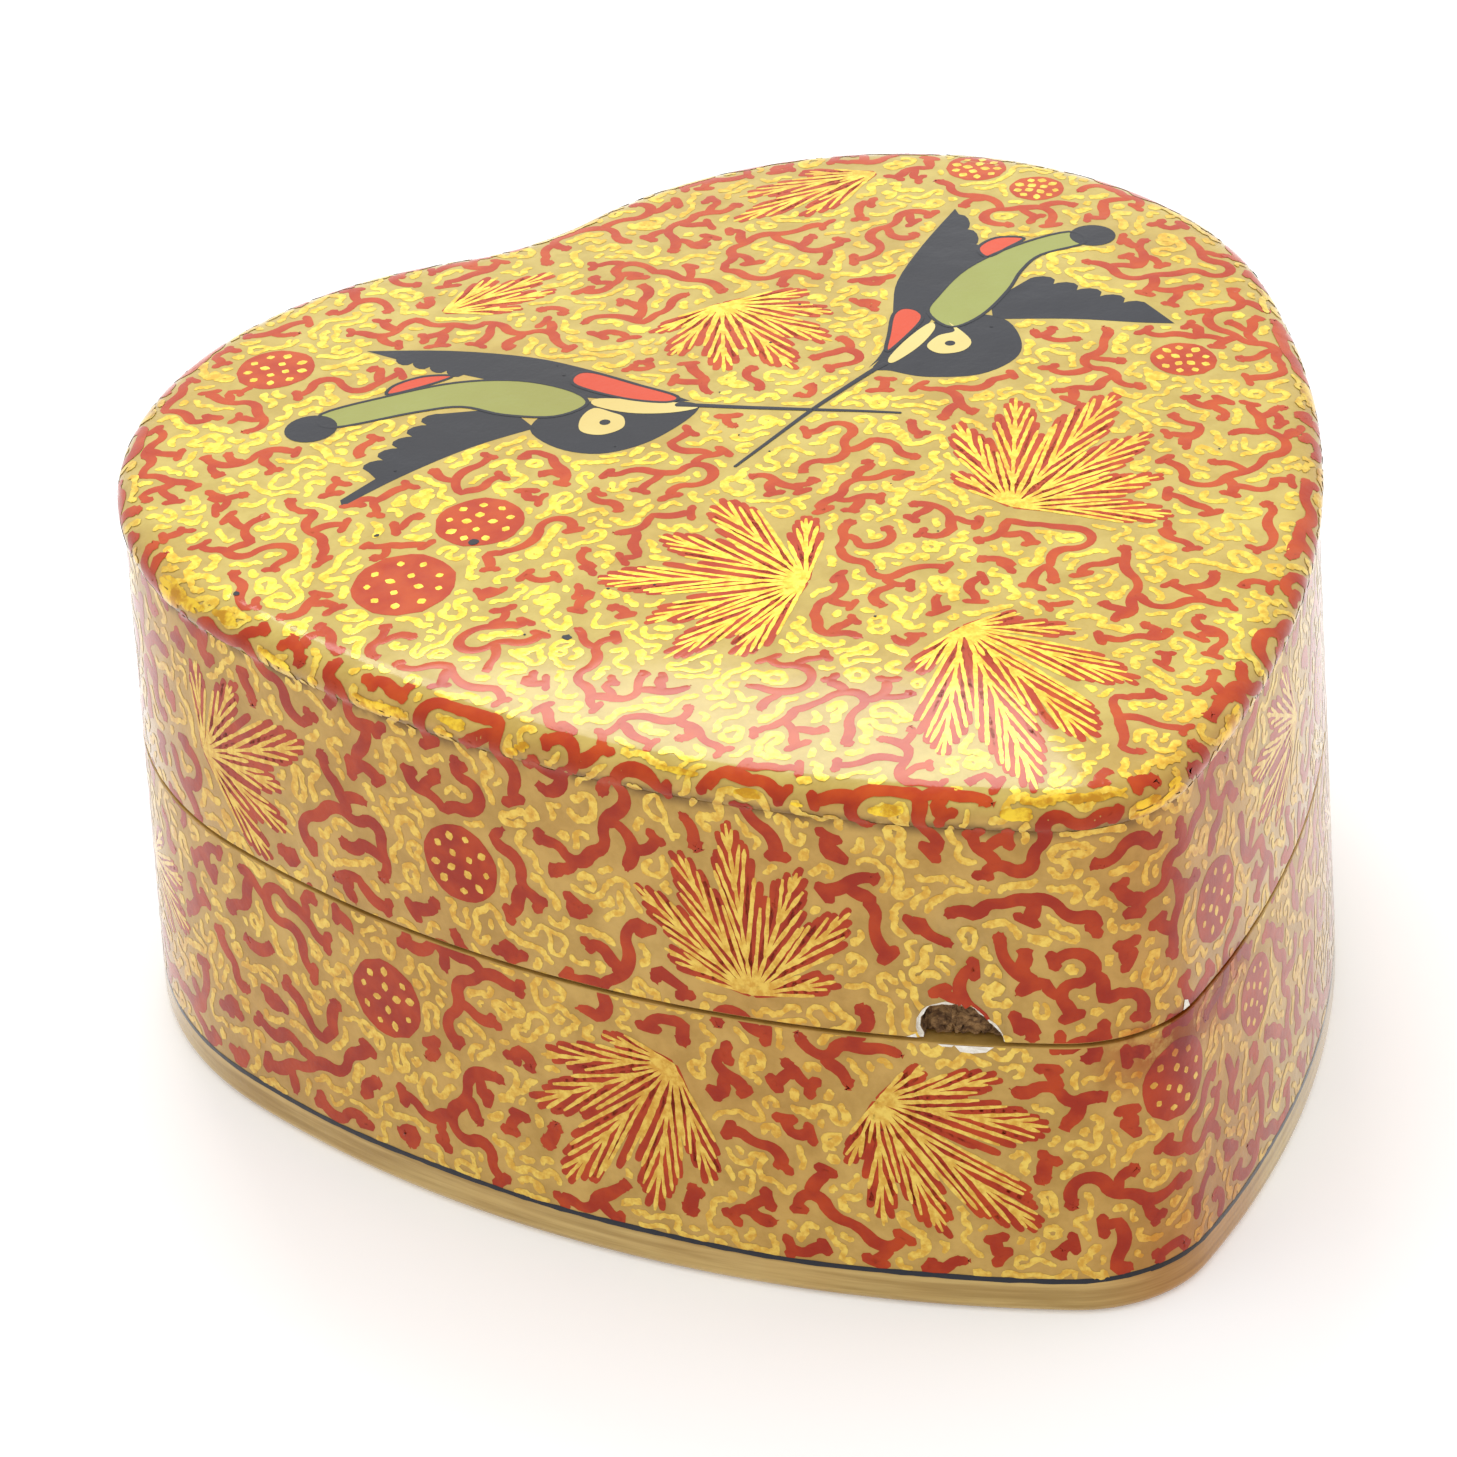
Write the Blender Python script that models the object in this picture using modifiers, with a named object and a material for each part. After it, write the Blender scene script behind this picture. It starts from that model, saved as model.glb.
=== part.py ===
"""Heart-shaped lidded trinket box in painted papier-mache, as five separate pieces.

The lid is a domed crown panel on a wall band, and the base is a wall band round a floor panel.
A thin locating collar, glued inside the base, stands above the seam, and the lid slides over it.
Lengths are in metres. +Z is up, +Y points at the cleft of the heart and -Y at its tip.
The origin is on the table, at the middle of the heart's box.
"""

import math

import bmesh
import bpy
from mathutils import Matrix, Vector

# Plan of the heart, on the outer face of the walls
WIDTH = 0.0900
LENGTH = 0.0964
LOBE_RADIUS = 0.0310
SIDE_RADIUS = 0.0933
TIP_RADIUS = 0.0100
CLEFT_RADIUS = 0.0200

# Heights
BASE_HEIGHT = 0.0232
LID_WALL_HEIGHT = 0.0178
CROWN_EDGE = 0.0024
CROWN_RISE = 0.0022

# Thicknesses of the papier-mache (the crown's is CROWN_EDGE, and the doming lifts both its faces)
WALL = 0.0030
FLOOR = 0.0030
COLLAR_WALL = 0.0015

# The collar's grip below the seam, and its stand above it
COLLAR_BELOW = 0.0070
COLLAR_ABOVE = 0.0050

# Fits and edges
JOINT_GAP = 0.0003
EDGE_ROUND = 0.0004
CROWN_OVERHANG = 0.00035
SHOULDER = 0.0026
BEAD_HEIGHT = 0.0009
DOME_POWER = 2.2

# A chip broken out of the lid wall's lower edge, beside the tip
CHIP_FROM_TIP = -0.0129
CHIP_WIDTH = 0.0066
CHIP_HEIGHT = 0.0034
CHIP_DEPTH = 0.0013

# How finely curves are drawn
ARC_STEP = math.radians(6)
SIDE_STEP = math.radians(3.5)
DOME_RINGS = 6
SHOULDER_RINGS = 4
INNERMOST = 0.12

# Levels worked out from the heights
LID_WALL_BOTTOM = BASE_HEIGHT + JOINT_GAP
LID_WALL_TOP = LID_WALL_BOTTOM + LID_WALL_HEIGHT
CROWN_BOTTOM = LID_WALL_TOP + JOINT_GAP

COLOURS = {
    "ground": (0.56, 0.46, 0.24),
    "black_lacquer": (0.012, 0.010, 0.009),
}


def clear_scene():
    for old in list(bpy.data.objects):
        bpy.data.objects.remove(old)


def new_collection(name):
    collection = bpy.data.collections.new(name)
    bpy.context.scene.collection.children.link(collection)
    return collection


def lacquer(name, colour, roughness):
    material = bpy.data.materials.new(name)
    material.use_nodes = True
    shader = material.node_tree.nodes["Principled BSDF"]
    shader.inputs["Base Color"].default_value = (*colour, 1)
    shader.inputs["Roughness"].default_value = roughness
    shader.inputs["Metallic"].default_value = 0
    return material


def arc_centres():
    """Centres of the lobe, tip, side and cleft arcs of the right half, which meet tangentially."""
    middle = LENGTH / 2
    lobe = Vector((WIDTH / 2 - LOBE_RADIUS, middle - LOBE_RADIUS))
    tip = Vector((0, TIP_RADIUS - middle))
    cleft_rise = math.sqrt((LOBE_RADIUS + CLEFT_RADIUS) ** 2 - lobe.x**2)
    cleft = Vector((0, lobe.y + cleft_rise))
    # The side arc holds both the lobe's and the tip's circles, so its centre is this far from theirs.
    from_lobe = SIDE_RADIUS - LOBE_RADIUS
    from_tip = SIDE_RADIUS - TIP_RADIUS
    apart = tip - lobe
    along = (from_lobe**2 - from_tip**2 + apart.length_squared) / (2 * apart.length)
    across = math.sqrt(from_lobe**2 - along**2)
    direction = apart.normalized()
    sideways = Vector((direction.y, -direction.x))
    side = lobe + direction * along + sideways * across
    return lobe, tip, side, cleft


def direction_angle(vector):
    return math.atan2(vector.y, vector.x)


def arc_points(centre, radius, start, end, step):
    """Points along an arc, without its last one."""
    count = max(2, math.ceil(abs(end - start) / step))
    turns = [start + (end - start) * i / count for i in range(count)]
    return [centre + radius * Vector((math.cos(t), math.sin(t))) for t in turns]


def heart_outline(inset=0.0):
    """The heart's outline moved inwards by inset, as points from the cleft clockwise round to the cleft."""
    lobe, tip, side, cleft = arc_centres()
    to_lobe = direction_angle(lobe - cleft)
    lobe_start = direction_angle(cleft - lobe)
    lobe_end = direction_angle(lobe - side)
    side_end = direction_angle(tip - side)
    half = arc_points(cleft, CLEFT_RADIUS + inset, -math.pi / 2, to_lobe, ARC_STEP)
    half += arc_points(lobe, LOBE_RADIUS - inset, lobe_start, lobe_end, ARC_STEP)
    half += arc_points(side, SIDE_RADIUS - inset, lobe_end, side_end, SIDE_STEP)
    half += arc_points(tip, TIP_RADIUS - inset, side_end, -math.pi / 2, ARC_STEP)
    tip_end = tip - Vector((0, TIP_RADIUS - inset))
    mirrored = [Vector((-p.x, p.y)) for p in reversed(half[1:])]
    return half + [tip_end] + mirrored


def tip_walk(distance):
    """Point and outward direction on the outline, this far from the tip, with +X positive."""
    outline = heart_outline()
    start = min(range(len(outline)), key=lambda i: outline[i].y)
    step = -1 if distance > 0 else 1
    left = abs(distance)
    here = start
    while True:
        after = (here + step) % len(outline)
        leg = outline[after] - outline[here]
        if leg.length >= left:
            break
        left -= leg.length
        here = after
    along = leg.normalized()
    outward = Vector((-along.y, along.x)) * -step
    return outline[here] + along * left, outward


def flat_curve(name, outlines, height):
    """A closed 2D curve filled between its outlines and extruded to a height, as a mesh resting at Z 0."""
    curve = bpy.data.curves.new(name, "CURVE")
    curve.dimensions = "2D"
    curve.fill_mode = "BOTH"
    curve.extrude = height / 2
    for outline in outlines:
        spline = curve.splines.new("POLY")
        spline.points.add(len(outline) - 1)
        for point, place in zip(spline.points, outline):
            point.co = (place.x, place.y, 0, 1)
        spline.use_cyclic_u = True
    holder = bpy.data.objects.new(name + "_curve", curve)
    bpy.context.scene.collection.objects.link(holder)
    evaluated = holder.evaluated_get(bpy.context.evaluated_depsgraph_get())
    mesh = bpy.data.meshes.new_from_object(evaluated)
    bpy.data.objects.remove(holder)
    shape = bmesh.new()
    shape.from_mesh(mesh)
    bmesh.ops.remove_doubles(shape, verts=shape.verts, dist=1e-6)
    bmesh.ops.recalc_face_normals(shape, faces=shape.faces)
    bmesh.ops.translate(shape, verts=shape.verts, vec=(0, 0, height / 2))
    shape.to_mesh(mesh)
    shape.free()
    mesh.name = name
    return mesh


def add_part(name, mesh, level, material, collection):
    part = bpy.data.objects.new(name, mesh)
    collection.objects.link(part)
    part.location.z = level
    mesh.materials.clear()
    mesh.materials.append(material)
    return part


def round_edges(part, width=EDGE_ROUND):
    bevel = part.modifiers.new("rounded_edges", "BEVEL")
    bevel.width = width
    bevel.segments = 2
    bevel.limit_method = "ANGLE"
    bevel.angle_limit = math.radians(50)
    return bevel


def wall_band(name, inset, thickness, bottom, height, material, collection):
    """A strip bent round the heart, from its outer inset inwards."""
    outlines = [heart_outline(inset), heart_outline(inset + thickness)]
    band = add_part(name, flat_curve(name, outlines, height), bottom, material, collection)
    round_edges(band)
    return band


def floor_panel(material, collection):
    """The heart-shaped board that closes the base from inside its wall."""
    outline = heart_outline(WALL + JOINT_GAP)
    mesh = flat_curve("base_floor_panel", [outline], FLOOR)
    panel = add_part("base_floor_panel", mesh, 0, material, collection)
    round_edges(panel)
    return panel


def dome(share):
    """Height of the crown's doming at a share of the way from its middle to its rim."""
    return CROWN_RISE * (1 - share**DOME_POWER)


def crown_sections():
    """(inset, scale towards the middle, height) of each ring, from the underside's middle out over the bead."""
    reach = WIDTH / 2
    land_share = 1 - (WALL + JOINT_GAP) / reach
    shoulder_share = 1 - SHOULDER / reach
    scales = [INNERMOST + (1 - INNERMOST) * i / DOME_RINGS for i in range(DOME_RINGS + 1)]
    sections = [(WALL + JOINT_GAP, s, dome(land_share * s) - dome(land_share)) for s in scales]
    sections.append((0.0, 1.0, 0.0))
    sections.append((-CROWN_OVERHANG, 1.0, BEAD_HEIGHT))
    for i in range(1, SHOULDER_RINGS + 1):
        turn = math.pi / 2 * i / SHOULDER_RINGS
        inset = SHOULDER - (SHOULDER + CROWN_OVERHANG) * math.cos(turn)
        rise = BEAD_HEIGHT + (CROWN_EDGE - BEAD_HEIGHT) * math.sin(turn)
        sections.append((inset, 1.0, rise + dome(shoulder_share) * i / SHOULDER_RINGS))
    for s in reversed(scales[:-1]):
        sections.append((SHOULDER, s, CROWN_EDGE + dome(shoulder_share * s)))
    return sections


def ring_places(inset, scale, height):
    middle = Vector((0, 0))
    return [(*middle.lerp(p, scale), height) for p in heart_outline(inset)]


def crown_panel(material, collection):
    """The domed panel with its rolled edge, lofted by extruding one heart-shaped ring through its sections."""
    shape = bmesh.new()
    sections = crown_sections()
    ring = [shape.verts.new(place) for place in ring_places(*sections[0])]
    edges = [shape.edges.new((ring[i - 1], ring[i])) for i in range(len(ring))]
    bmesh.ops.contextual_create(shape, geom=edges)
    for section in sections[1:]:
        grown = bmesh.ops.extrude_edge_only(shape, edges=edges)["geom"]
        edges = [g for g in grown if isinstance(g, bmesh.types.BMEdge)]
        above = {}
        for old in ring:
            for edge in old.link_edges:
                other = edge.other_vert(old)
                if other in grown:
                    above[old] = other
        ring = [above[old] for old in ring]
        for vert, place in zip(ring, ring_places(*section)):
            vert.co = place
    bmesh.ops.contextual_create(shape, geom=edges)
    bmesh.ops.recalc_face_normals(shape, faces=shape.faces)
    mesh = bpy.data.meshes.new("lid_crown_panel")
    shape.to_mesh(mesh)
    shape.free()
    mesh.shade_smooth()
    mesh.set_sharp_from_angle(angle=math.radians(40))
    return add_part("lid_crown_panel", mesh, CROWN_BOTTOM, material, collection)


def chip_cutter(collection):
    """A rounded pebble shape that bites into the lid wall's outer face at its lower edge."""
    place, outward = tip_walk(CHIP_FROM_TIP)
    mesh = bpy.data.meshes.new("chip_cutter")
    shape = bmesh.new()
    bmesh.ops.create_icosphere(shape, subdivisions=2, radius=1)
    bmesh.ops.scale(shape, verts=shape.verts, vec=(CHIP_DEPTH, CHIP_WIDTH / 2, CHIP_HEIGHT))
    shape.to_mesh(mesh)
    shape.free()
    cutter = bpy.data.objects.new("chip_cutter", mesh)
    collection.objects.link(cutter)
    turn = Matrix.Rotation(direction_angle(outward), 4, "Z")
    cutter.matrix_world = Matrix.Translation((place.x, place.y, LID_WALL_BOTTOM)) @ turn
    cutter.hide_render = True
    cutter.display_type = "WIRE"
    return cutter


def cut_chip(wall, cutter):
    cut = wall.modifiers.new("chip", "BOOLEAN")
    cut.operation = "DIFFERENCE"
    cut.object = cutter


def build_box():
    clear_scene()
    box = new_collection("heart_trinket_box")
    cutters = new_collection("cutters")
    ground = lacquer("painted_ground", COLOURS["ground"], 0.3)
    black = lacquer("black_lacquer", COLOURS["black_lacquer"], 0.35)
    floor_panel(black, box)
    wall_band("base_wall", 0, WALL, 0, BASE_HEIGHT, ground, box)
    collar_inset = WALL + JOINT_GAP
    collar_height = COLLAR_BELOW + COLLAR_ABOVE
    collar_bottom = BASE_HEIGHT - COLLAR_BELOW
    wall_band("locating_collar", collar_inset, COLLAR_WALL, collar_bottom, collar_height, black, box)
    lid_wall = wall_band("lid_wall", 0, WALL, LID_WALL_BOTTOM, LID_WALL_HEIGHT, ground, box)
    cut_chip(lid_wall, chip_cutter(cutters))
    crown_panel(ground, box)


build_box()
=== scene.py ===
# %% [markdown]
# # A painted papier-mache heart box
# The real thing is a small lidded box, pressed from paper pulp and painted by hand with a fine brush,
# then varnished until it shines. This lesson starts from the plain model of the box, which fixes every
# size, and gives it smooth skins, the painted pattern as thin raised strokes, and materials.

# %% Load the plain model and keep its size
import math
import random

import bmesh
import bpy
import numpy as np
from mathutils import Matrix, Vector
from mathutils.bvhtree import BVHTree


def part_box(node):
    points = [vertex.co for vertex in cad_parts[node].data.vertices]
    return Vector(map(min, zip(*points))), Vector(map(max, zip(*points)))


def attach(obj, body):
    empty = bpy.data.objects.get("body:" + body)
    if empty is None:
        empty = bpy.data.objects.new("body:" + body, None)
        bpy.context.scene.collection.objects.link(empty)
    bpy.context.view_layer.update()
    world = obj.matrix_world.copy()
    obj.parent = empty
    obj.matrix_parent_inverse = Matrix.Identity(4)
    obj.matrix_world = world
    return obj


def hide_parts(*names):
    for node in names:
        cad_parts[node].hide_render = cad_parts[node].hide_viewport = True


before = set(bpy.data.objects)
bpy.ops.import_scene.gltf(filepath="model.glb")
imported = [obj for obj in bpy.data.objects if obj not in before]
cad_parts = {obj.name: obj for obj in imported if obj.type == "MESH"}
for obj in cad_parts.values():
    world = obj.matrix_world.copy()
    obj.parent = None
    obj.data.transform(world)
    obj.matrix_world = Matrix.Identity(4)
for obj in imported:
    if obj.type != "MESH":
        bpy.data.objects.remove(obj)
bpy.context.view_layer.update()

MM = 0.001
base_low, base_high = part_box("base_wall")
lid_low, lid_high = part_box("lid_wall")
crown_low, crown_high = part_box("lid_crown_panel")
floor_low, floor_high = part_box("base_floor_panel")
collar_low, collar_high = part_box("locating_collar")

# %% [markdown]
# ## The outline
# Every piece follows one heart, drawn with arcs that run smoothly into each other: a round lobe, a long
# side arc, a small tip arc and a hollow arc in the cleft. The four radii give this heart its roundness,
# and its width and length come from the model. Moving the outline inwards only changes the radii.

# %% Arcs of the heart
WIDTH = (base_high.x - base_low.x) / MM
LENGTH = (base_high.y - base_low.y) / MM
LOBE, SIDE, TIP, CLEFT = 31.0, 93.3, 10.0, 20.0


def heart_centres():
    """Centres of the right half's lobe, tip, side and cleft arcs, in millimetres."""
    lobe = Vector((WIDTH / 2 - LOBE, LENGTH / 2 - LOBE))
    tip = Vector((0, TIP - LENGTH / 2))
    cleft = Vector((0, lobe.y + math.sqrt((LOBE + CLEFT) ** 2 - lobe.x**2)))
    apart = tip - lobe
    along = ((SIDE - LOBE) ** 2 - (SIDE - TIP) ** 2 + apart.length_squared) / (2 * apart.length)
    across = math.sqrt((SIDE - LOBE) ** 2 - along**2)
    forward = apart.normalized()
    side = lobe + forward * along + Vector((forward.y, -forward.x)) * across
    return lobe, tip, side, cleft


def angle_of(v):
    return math.atan2(v.y, v.x)


def arc(centre, radius, start, end, spacing):
    count = max(3, math.ceil(abs(end - start) * radius / spacing))
    turns = np.linspace(start, end, count, endpoint=False)
    return np.stack([centre.x + radius * np.cos(turns), centre.y + radius * np.sin(turns)], 1)


def heart_line(spacing=0.8):
    """The outer outline from the tip, running towards +X and round, and each point's way outwards."""
    lobe, tip, side, cleft = heart_centres()
    arcs = (
        (tip, TIP, -math.pi / 2, angle_of(tip - side), 1),
        (side, SIDE, angle_of(tip - side), angle_of(lobe - side), 1),
        (lobe, LOBE, angle_of(lobe - side), angle_of(cleft - lobe), 1),
        (cleft, CLEFT, angle_of(lobe - cleft), -math.pi / 2, -1),
    )
    points, outward = [], []
    for centre, radius, start, end, sense in arcs:
        stretch = arc(centre, radius, start, end, spacing)
        points.append(stretch)
        outward.append(sense * (stretch - [centre.x, centre.y]) / radius)
    points, outward = np.concatenate(points), np.concatenate(outward)
    bottom = np.array([[0, cleft.y - CLEFT]])
    mirrored = [-1, 1]
    points = np.concatenate([points, bottom, (points[1:] * mirrored)[::-1]])
    outward = np.concatenate([outward, [[0, 1]], (outward[1:] * mirrored)[::-1]])
    return points, outward


LINE, OUTWARD = heart_line()
LEGS = np.linalg.norm(np.roll(LINE, -1, 0) - LINE, axis=1)
ROUND = LEGS.sum()
WALKED = np.concatenate([[0], np.cumsum(LEGS)])
print(f"outline of {len(LINE)} points, {ROUND:.1f} mm round")

# %% [markdown]
# ## Skins
# The model's walls are made of flat facets, which a gloss varnish would show. So each wall, panel and
# collar gets a skin: one heart-shaped ring of edges, extruded from section to section. A section says
# how far in from the outline the ring lies and how high. Rings near the middle of the crown are scaled
# hearts, which is how the dome keeps the shape of the outline all the way in.

# %% Lofting a heart through its sections
PAINTED_BOX = []


def put_in_scene(name, data):
    made = bpy.data.objects.new(name, data)
    bpy.context.scene.collection.objects.link(made)
    return made


def tidy_mesh(name, shape, body, nodes, smooth_angle=40):
    """Turns a bmesh in millimetres into a piece that stands for its CAD nodes."""
    bmesh.ops.recalc_face_normals(shape, faces=shape.faces)
    bmesh.ops.scale(shape, verts=shape.verts, vec=(MM, MM, MM))
    mesh = bpy.data.meshes.new(name)
    shape.to_mesh(mesh)
    shape.free()
    piece = put_in_scene(name, mesh)
    mesh.shade_smooth()
    mesh.set_sharp_from_angle(angle=math.radians(smooth_angle))
    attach(piece, body)
    if nodes:
        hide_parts(*nodes)
    PAINTED_BOX.append(piece)
    return piece


def section_places(inset, height, scale):
    flat = (LINE - OUTWARD * inset) * scale
    return np.column_stack([flat, np.full(len(flat), height)])


def loft(sections, closed):
    """A bmesh through heart sections of (inset, height, scale). Closed joins the last to the first."""
    shape = bmesh.new()
    ring = [shape.verts.new(place) for place in section_places(*sections[0])]
    first = edges = [shape.edges.new((ring[i - 1], ring[i])) for i in range(len(ring))]
    if not closed:
        bmesh.ops.contextual_create(shape, geom=edges)
    for section in sections[1:]:
        grown = bmesh.ops.extrude_edge_only(shape, edges=edges)["geom"]
        edges = [g for g in grown if isinstance(g, bmesh.types.BMEdge)]
        new = {g for g in grown if isinstance(g, bmesh.types.BMVert)}
        ring = [next(e.other_vert(v) for e in v.link_edges if e.other_vert(v) in new) for v in ring]
        for vert, place in zip(ring, section_places(*section)):
            vert.co = place
    if closed:
        bmesh.ops.bridge_loops(shape, edges=edges + first)
    else:
        bmesh.ops.contextual_create(shape, geom=edges)
    return shape


def corner(inset, height, radius, start, steps=4):
    """Sections round a quarter circle of an edge. Start is the quarter's first direction, in degrees."""
    turns = [math.radians(start + 90 * i / steps) for i in range(steps + 1)]
    return [(inset - radius * math.cos(t), height + radius * math.sin(t), 1.0) for t in turns]


def band(outer, inner, low, high, edge):
    """Sections of a wall band with rounded edges, going up the outside and down the inside."""
    return [
        *corner(outer + edge, low + edge, edge, -90),
        *corner(outer + edge, high - edge, edge, 0),
        *corner(inner - edge, high - edge, edge, 90),
        *corner(inner - edge, low + edge, edge, 180),
    ]


# %% The walls, the collar and the floor
WALL = (base_high.x - floor_high.x) / MM
GAP = (lid_low.z - base_high.z) / MM
WALL_IN = WALL - GAP
SEAM_LOW, SEAM_HIGH = base_high.z / MM, lid_low.z / MM
CROWN_UNDER = crown_low.z / MM
COLLAR_THICK = 1.5
COLLAR_IN = WALL + COLLAR_THICK
FOOT_EDGE, SEAM_EDGE, COLLAR_EDGE, FLOOR_EDGE = 0.9, 0.13, 0.5, 0.3
CENTRE_HOLE = 0.05

base_sections = [
    *corner(FOOT_EDGE, FOOT_EDGE, FOOT_EDGE, -90, 6),
    *corner(SEAM_EDGE, SEAM_LOW - SEAM_EDGE, SEAM_EDGE, 0),
    *corner(WALL_IN - SEAM_EDGE, SEAM_LOW - SEAM_EDGE, SEAM_EDGE, 90),
    *corner(WALL_IN - SEAM_EDGE, SEAM_EDGE, SEAM_EDGE, 180),
]
base_shape = loft(base_sections, True)
base_shell = tidy_mesh("base_wall_skin", base_shape, "base", ["base_wall"])
lid_sections = band(0, WALL_IN, SEAM_HIGH, CROWN_UNDER, SEAM_EDGE)
lid_shell = tidy_mesh("lid_wall_skin", loft(lid_sections, True), "lid", ["lid_wall"])
collar_sections = band(WALL, COLLAR_IN, collar_low.z / MM, collar_high.z / MM, COLLAR_EDGE)
collar_shape = loft(collar_sections, True)
collar = tidy_mesh("collar_skin", collar_shape, "base", ["locating_collar"])
floor_sections = [
    (WALL + FLOOR_EDGE, 0.0, CENTRE_HOLE),
    (WALL + FLOOR_EDGE, 0.0, 1.0),
    (WALL, FLOOR_EDGE, 1.0),
    (WALL, floor_high.z / MM - FLOOR_EDGE, 1.0),
    (WALL + FLOOR_EDGE, floor_high.z / MM, 1.0),
    (WALL + FLOOR_EDGE, floor_high.z / MM, CENTRE_HOLE),
]
floor_shape = loft(floor_sections, False)
floor_skin = tidy_mesh("floor_skin", floor_shape, "base", ["base_floor_panel"])
print("walls, collar and floor:", [len(p.data.polygons) for p in PAINTED_BOX], "faces")

# %% The domed crown with its rolled edge
OVERHANG = (crown_high.x - base_high.x) / MM
SHOULDER, BEAD, EDGE_RISE, DOME_POWER = 2.6, 0.9, 2.4, 2.2
DOME_TOP = crown_high.z / MM
HALF = WIDTH / 2


def dome(share):
    return (DOME_TOP - CROWN_UNDER - EDGE_RISE) * (1 - share**DOME_POWER)


def rolled_edge(steps=10):
    """Sections from under the overhang, round the bead and up to the shoulder."""
    rise = dome(1 - SHOULDER / HALF)
    found = [(0.0, CROWN_UNDER, 1.0)]
    for turn in np.linspace(-math.pi / 2, 0, steps // 2 + 1)[1:]:
        found.append((-OVERHANG * math.cos(turn), CROWN_UNDER + BEAD * (1 + math.sin(turn)), 1.0))
    for i, turn in enumerate(np.linspace(0, math.pi / 2, steps + 1)[1:]):
        inset = SHOULDER - (SHOULDER + OVERHANG) * math.cos(turn)
        height = CROWN_UNDER + BEAD + (EDGE_RISE - BEAD) * math.sin(turn) + rise * (i + 1) / steps
        found.append((inset, height, 1.0))
    return found


EDGE = rolled_edge()
top_share = 1 - SHOULDER / HALF
scales = np.linspace(1, 0.02, 26)[1:]
crown_top = [(SHOULDER, CROWN_UNDER + EDGE_RISE + dome(top_share * s), s) for s in scales]
under_share = 1 - WALL / HALF
under_drop = dome(under_share)
crown_below = [(WALL, CROWN_UNDER + dome(under_share * s) - under_drop, s) for s in scales[::-1]]
crown_shape = loft([*crown_below, (WALL, CROWN_UNDER, 1.0), *EDGE, *crown_top], False)
crown = tidy_mesh("crown_skin", crown_shape, "lid", ["lid_crown_panel"], 60)
crown_tree = BVHTree.FromObject(crown, bpy.context.evaluated_depsgraph_get())
print(f"crown overhangs by {OVERHANG:.2f} mm and domes up to {DOME_TOP:.1f} mm")

# %% [markdown]
# ## Laying the painting out flat
# The painter sees two sheets: the top, looked at from above, and the side, unrolled from the tip all the
# way round. The pattern is laid out on those flat sheets in millimetres and is then wrapped onto the box.
# A canvas remembers, on a fine grid, how far every spot is from the nearest paint, so a new brush line
# can look ahead and keep its distance, exactly as a hand fills a ground without touching what is there.


# %% A canvas that knows how near the paint is
FAR = 9.0  # stands for no paint near, in millimetres
REACH = 2.6  # how far round paint a canvas is updated, in millimetres


class Canvas:
    def __init__(self, low, high, wraps=False, cell=0.15):
        self.low, self.high, self.wraps, self.cell = low, high, wraps, cell
        self.nx = round((high[0] - low[0]) / cell)
        self.ny = round((high[1] - low[1]) / cell)
        self.far = np.full((self.ny, self.nx), FAR)

    def cells(self, x0, y0, x1, y1):
        """Row and column numbers of a patch, and its spots. On a sheet that wraps, columns go round."""
        i0, i1 = math.floor((x0 - self.low[0]) / self.cell), math.ceil((x1 - self.low[0]) / self.cell)
        j0, j1 = math.floor((y0 - self.low[1]) / self.cell), math.ceil((y1 - self.low[1]) / self.cell)
        rows = np.arange(max(j0, 0), min(j1 + 1, self.ny))
        columns = np.arange(i0, i1 + 1)
        if not self.wraps:
            columns = columns[(columns >= 0) & (columns < self.nx)]
        xs = self.low[0] + (columns + 0.5) * self.cell
        ys = self.low[1] + (rows + 0.5) * self.cell
        return rows, columns % self.nx, xs, ys

    def keep_nearest(self, rows, columns, distance):
        spots = np.ix_(rows, columns)
        self.far[spots] = np.minimum(self.far[spots], distance)

    def paint(self, points, halves, reach=REACH):
        """Notes round dabs along a line, each with its half width."""
        for (x, y), half in zip(points, halves):
            rows, columns, xs, ys = self.cells(x - reach, y - reach, x + reach, y + reach)
            self.keep_nearest(rows, columns, np.hypot(xs[None, :] - x, ys[:, None] - y) - half)

    def fill(self, outline, reach=REACH):
        """Notes a filled shape: below zero inside it, and the distance to it outside."""
        shape = np.asarray(outline, float)
        low, high = shape.min(0) - reach, shape.max(0) + reach
        rows, columns, xs, ys = self.cells(low[0], low[1], high[0], high[1])
        self.keep_nearest(rows, columns, signed_distance(shape, xs, ys))

    def clear(self, x, y):
        i = int((x - self.low[0]) / self.cell)
        j = int((y - self.low[1]) / self.cell)
        if self.wraps:
            i %= self.nx
        if not (0 <= i < self.nx and 0 <= j < self.ny):
            return -1.0
        return self.far[j, i]


def signed_distance(shape, xs, ys):
    """Distance from a grid of spots to a closed outline, negative inside."""
    x, y = np.meshgrid(xs, ys)
    nearest = np.full(x.shape, 1e9)
    inside = np.zeros(x.shape, bool)
    for a, b in zip(shape, np.roll(shape, -1, 0)):
        leg = b - a
        t = ((x - a[0]) * leg[0] + (y - a[1]) * leg[1]) / max(leg @ leg, 1e-12)
        t = np.clip(t, 0, 1)
        nearest = np.minimum(nearest, np.hypot(x - a[0] - t * leg[0], y - a[1] - t * leg[1]))
        if a[1] != b[1]:
            crosses = (a[1] > y) != (b[1] > y)
            inside ^= crosses & (x < a[0] + (y - a[1]) * leg[0] / leg[1])
    return np.where(inside, -nearest, nearest)


# %% [markdown]
# ## A brush line that wanders
# The red pattern is a coral: short bends, first one way and then the other, with twigs that end in a
# knob. The gold is a finer line that twitches between the corals. Both are the same walk with other
# numbers: at each step the brush tries a few headings near the bend that it has in mind, drops those
# that would come too near other paint, and takes the one that bends least away from its plan.

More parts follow.
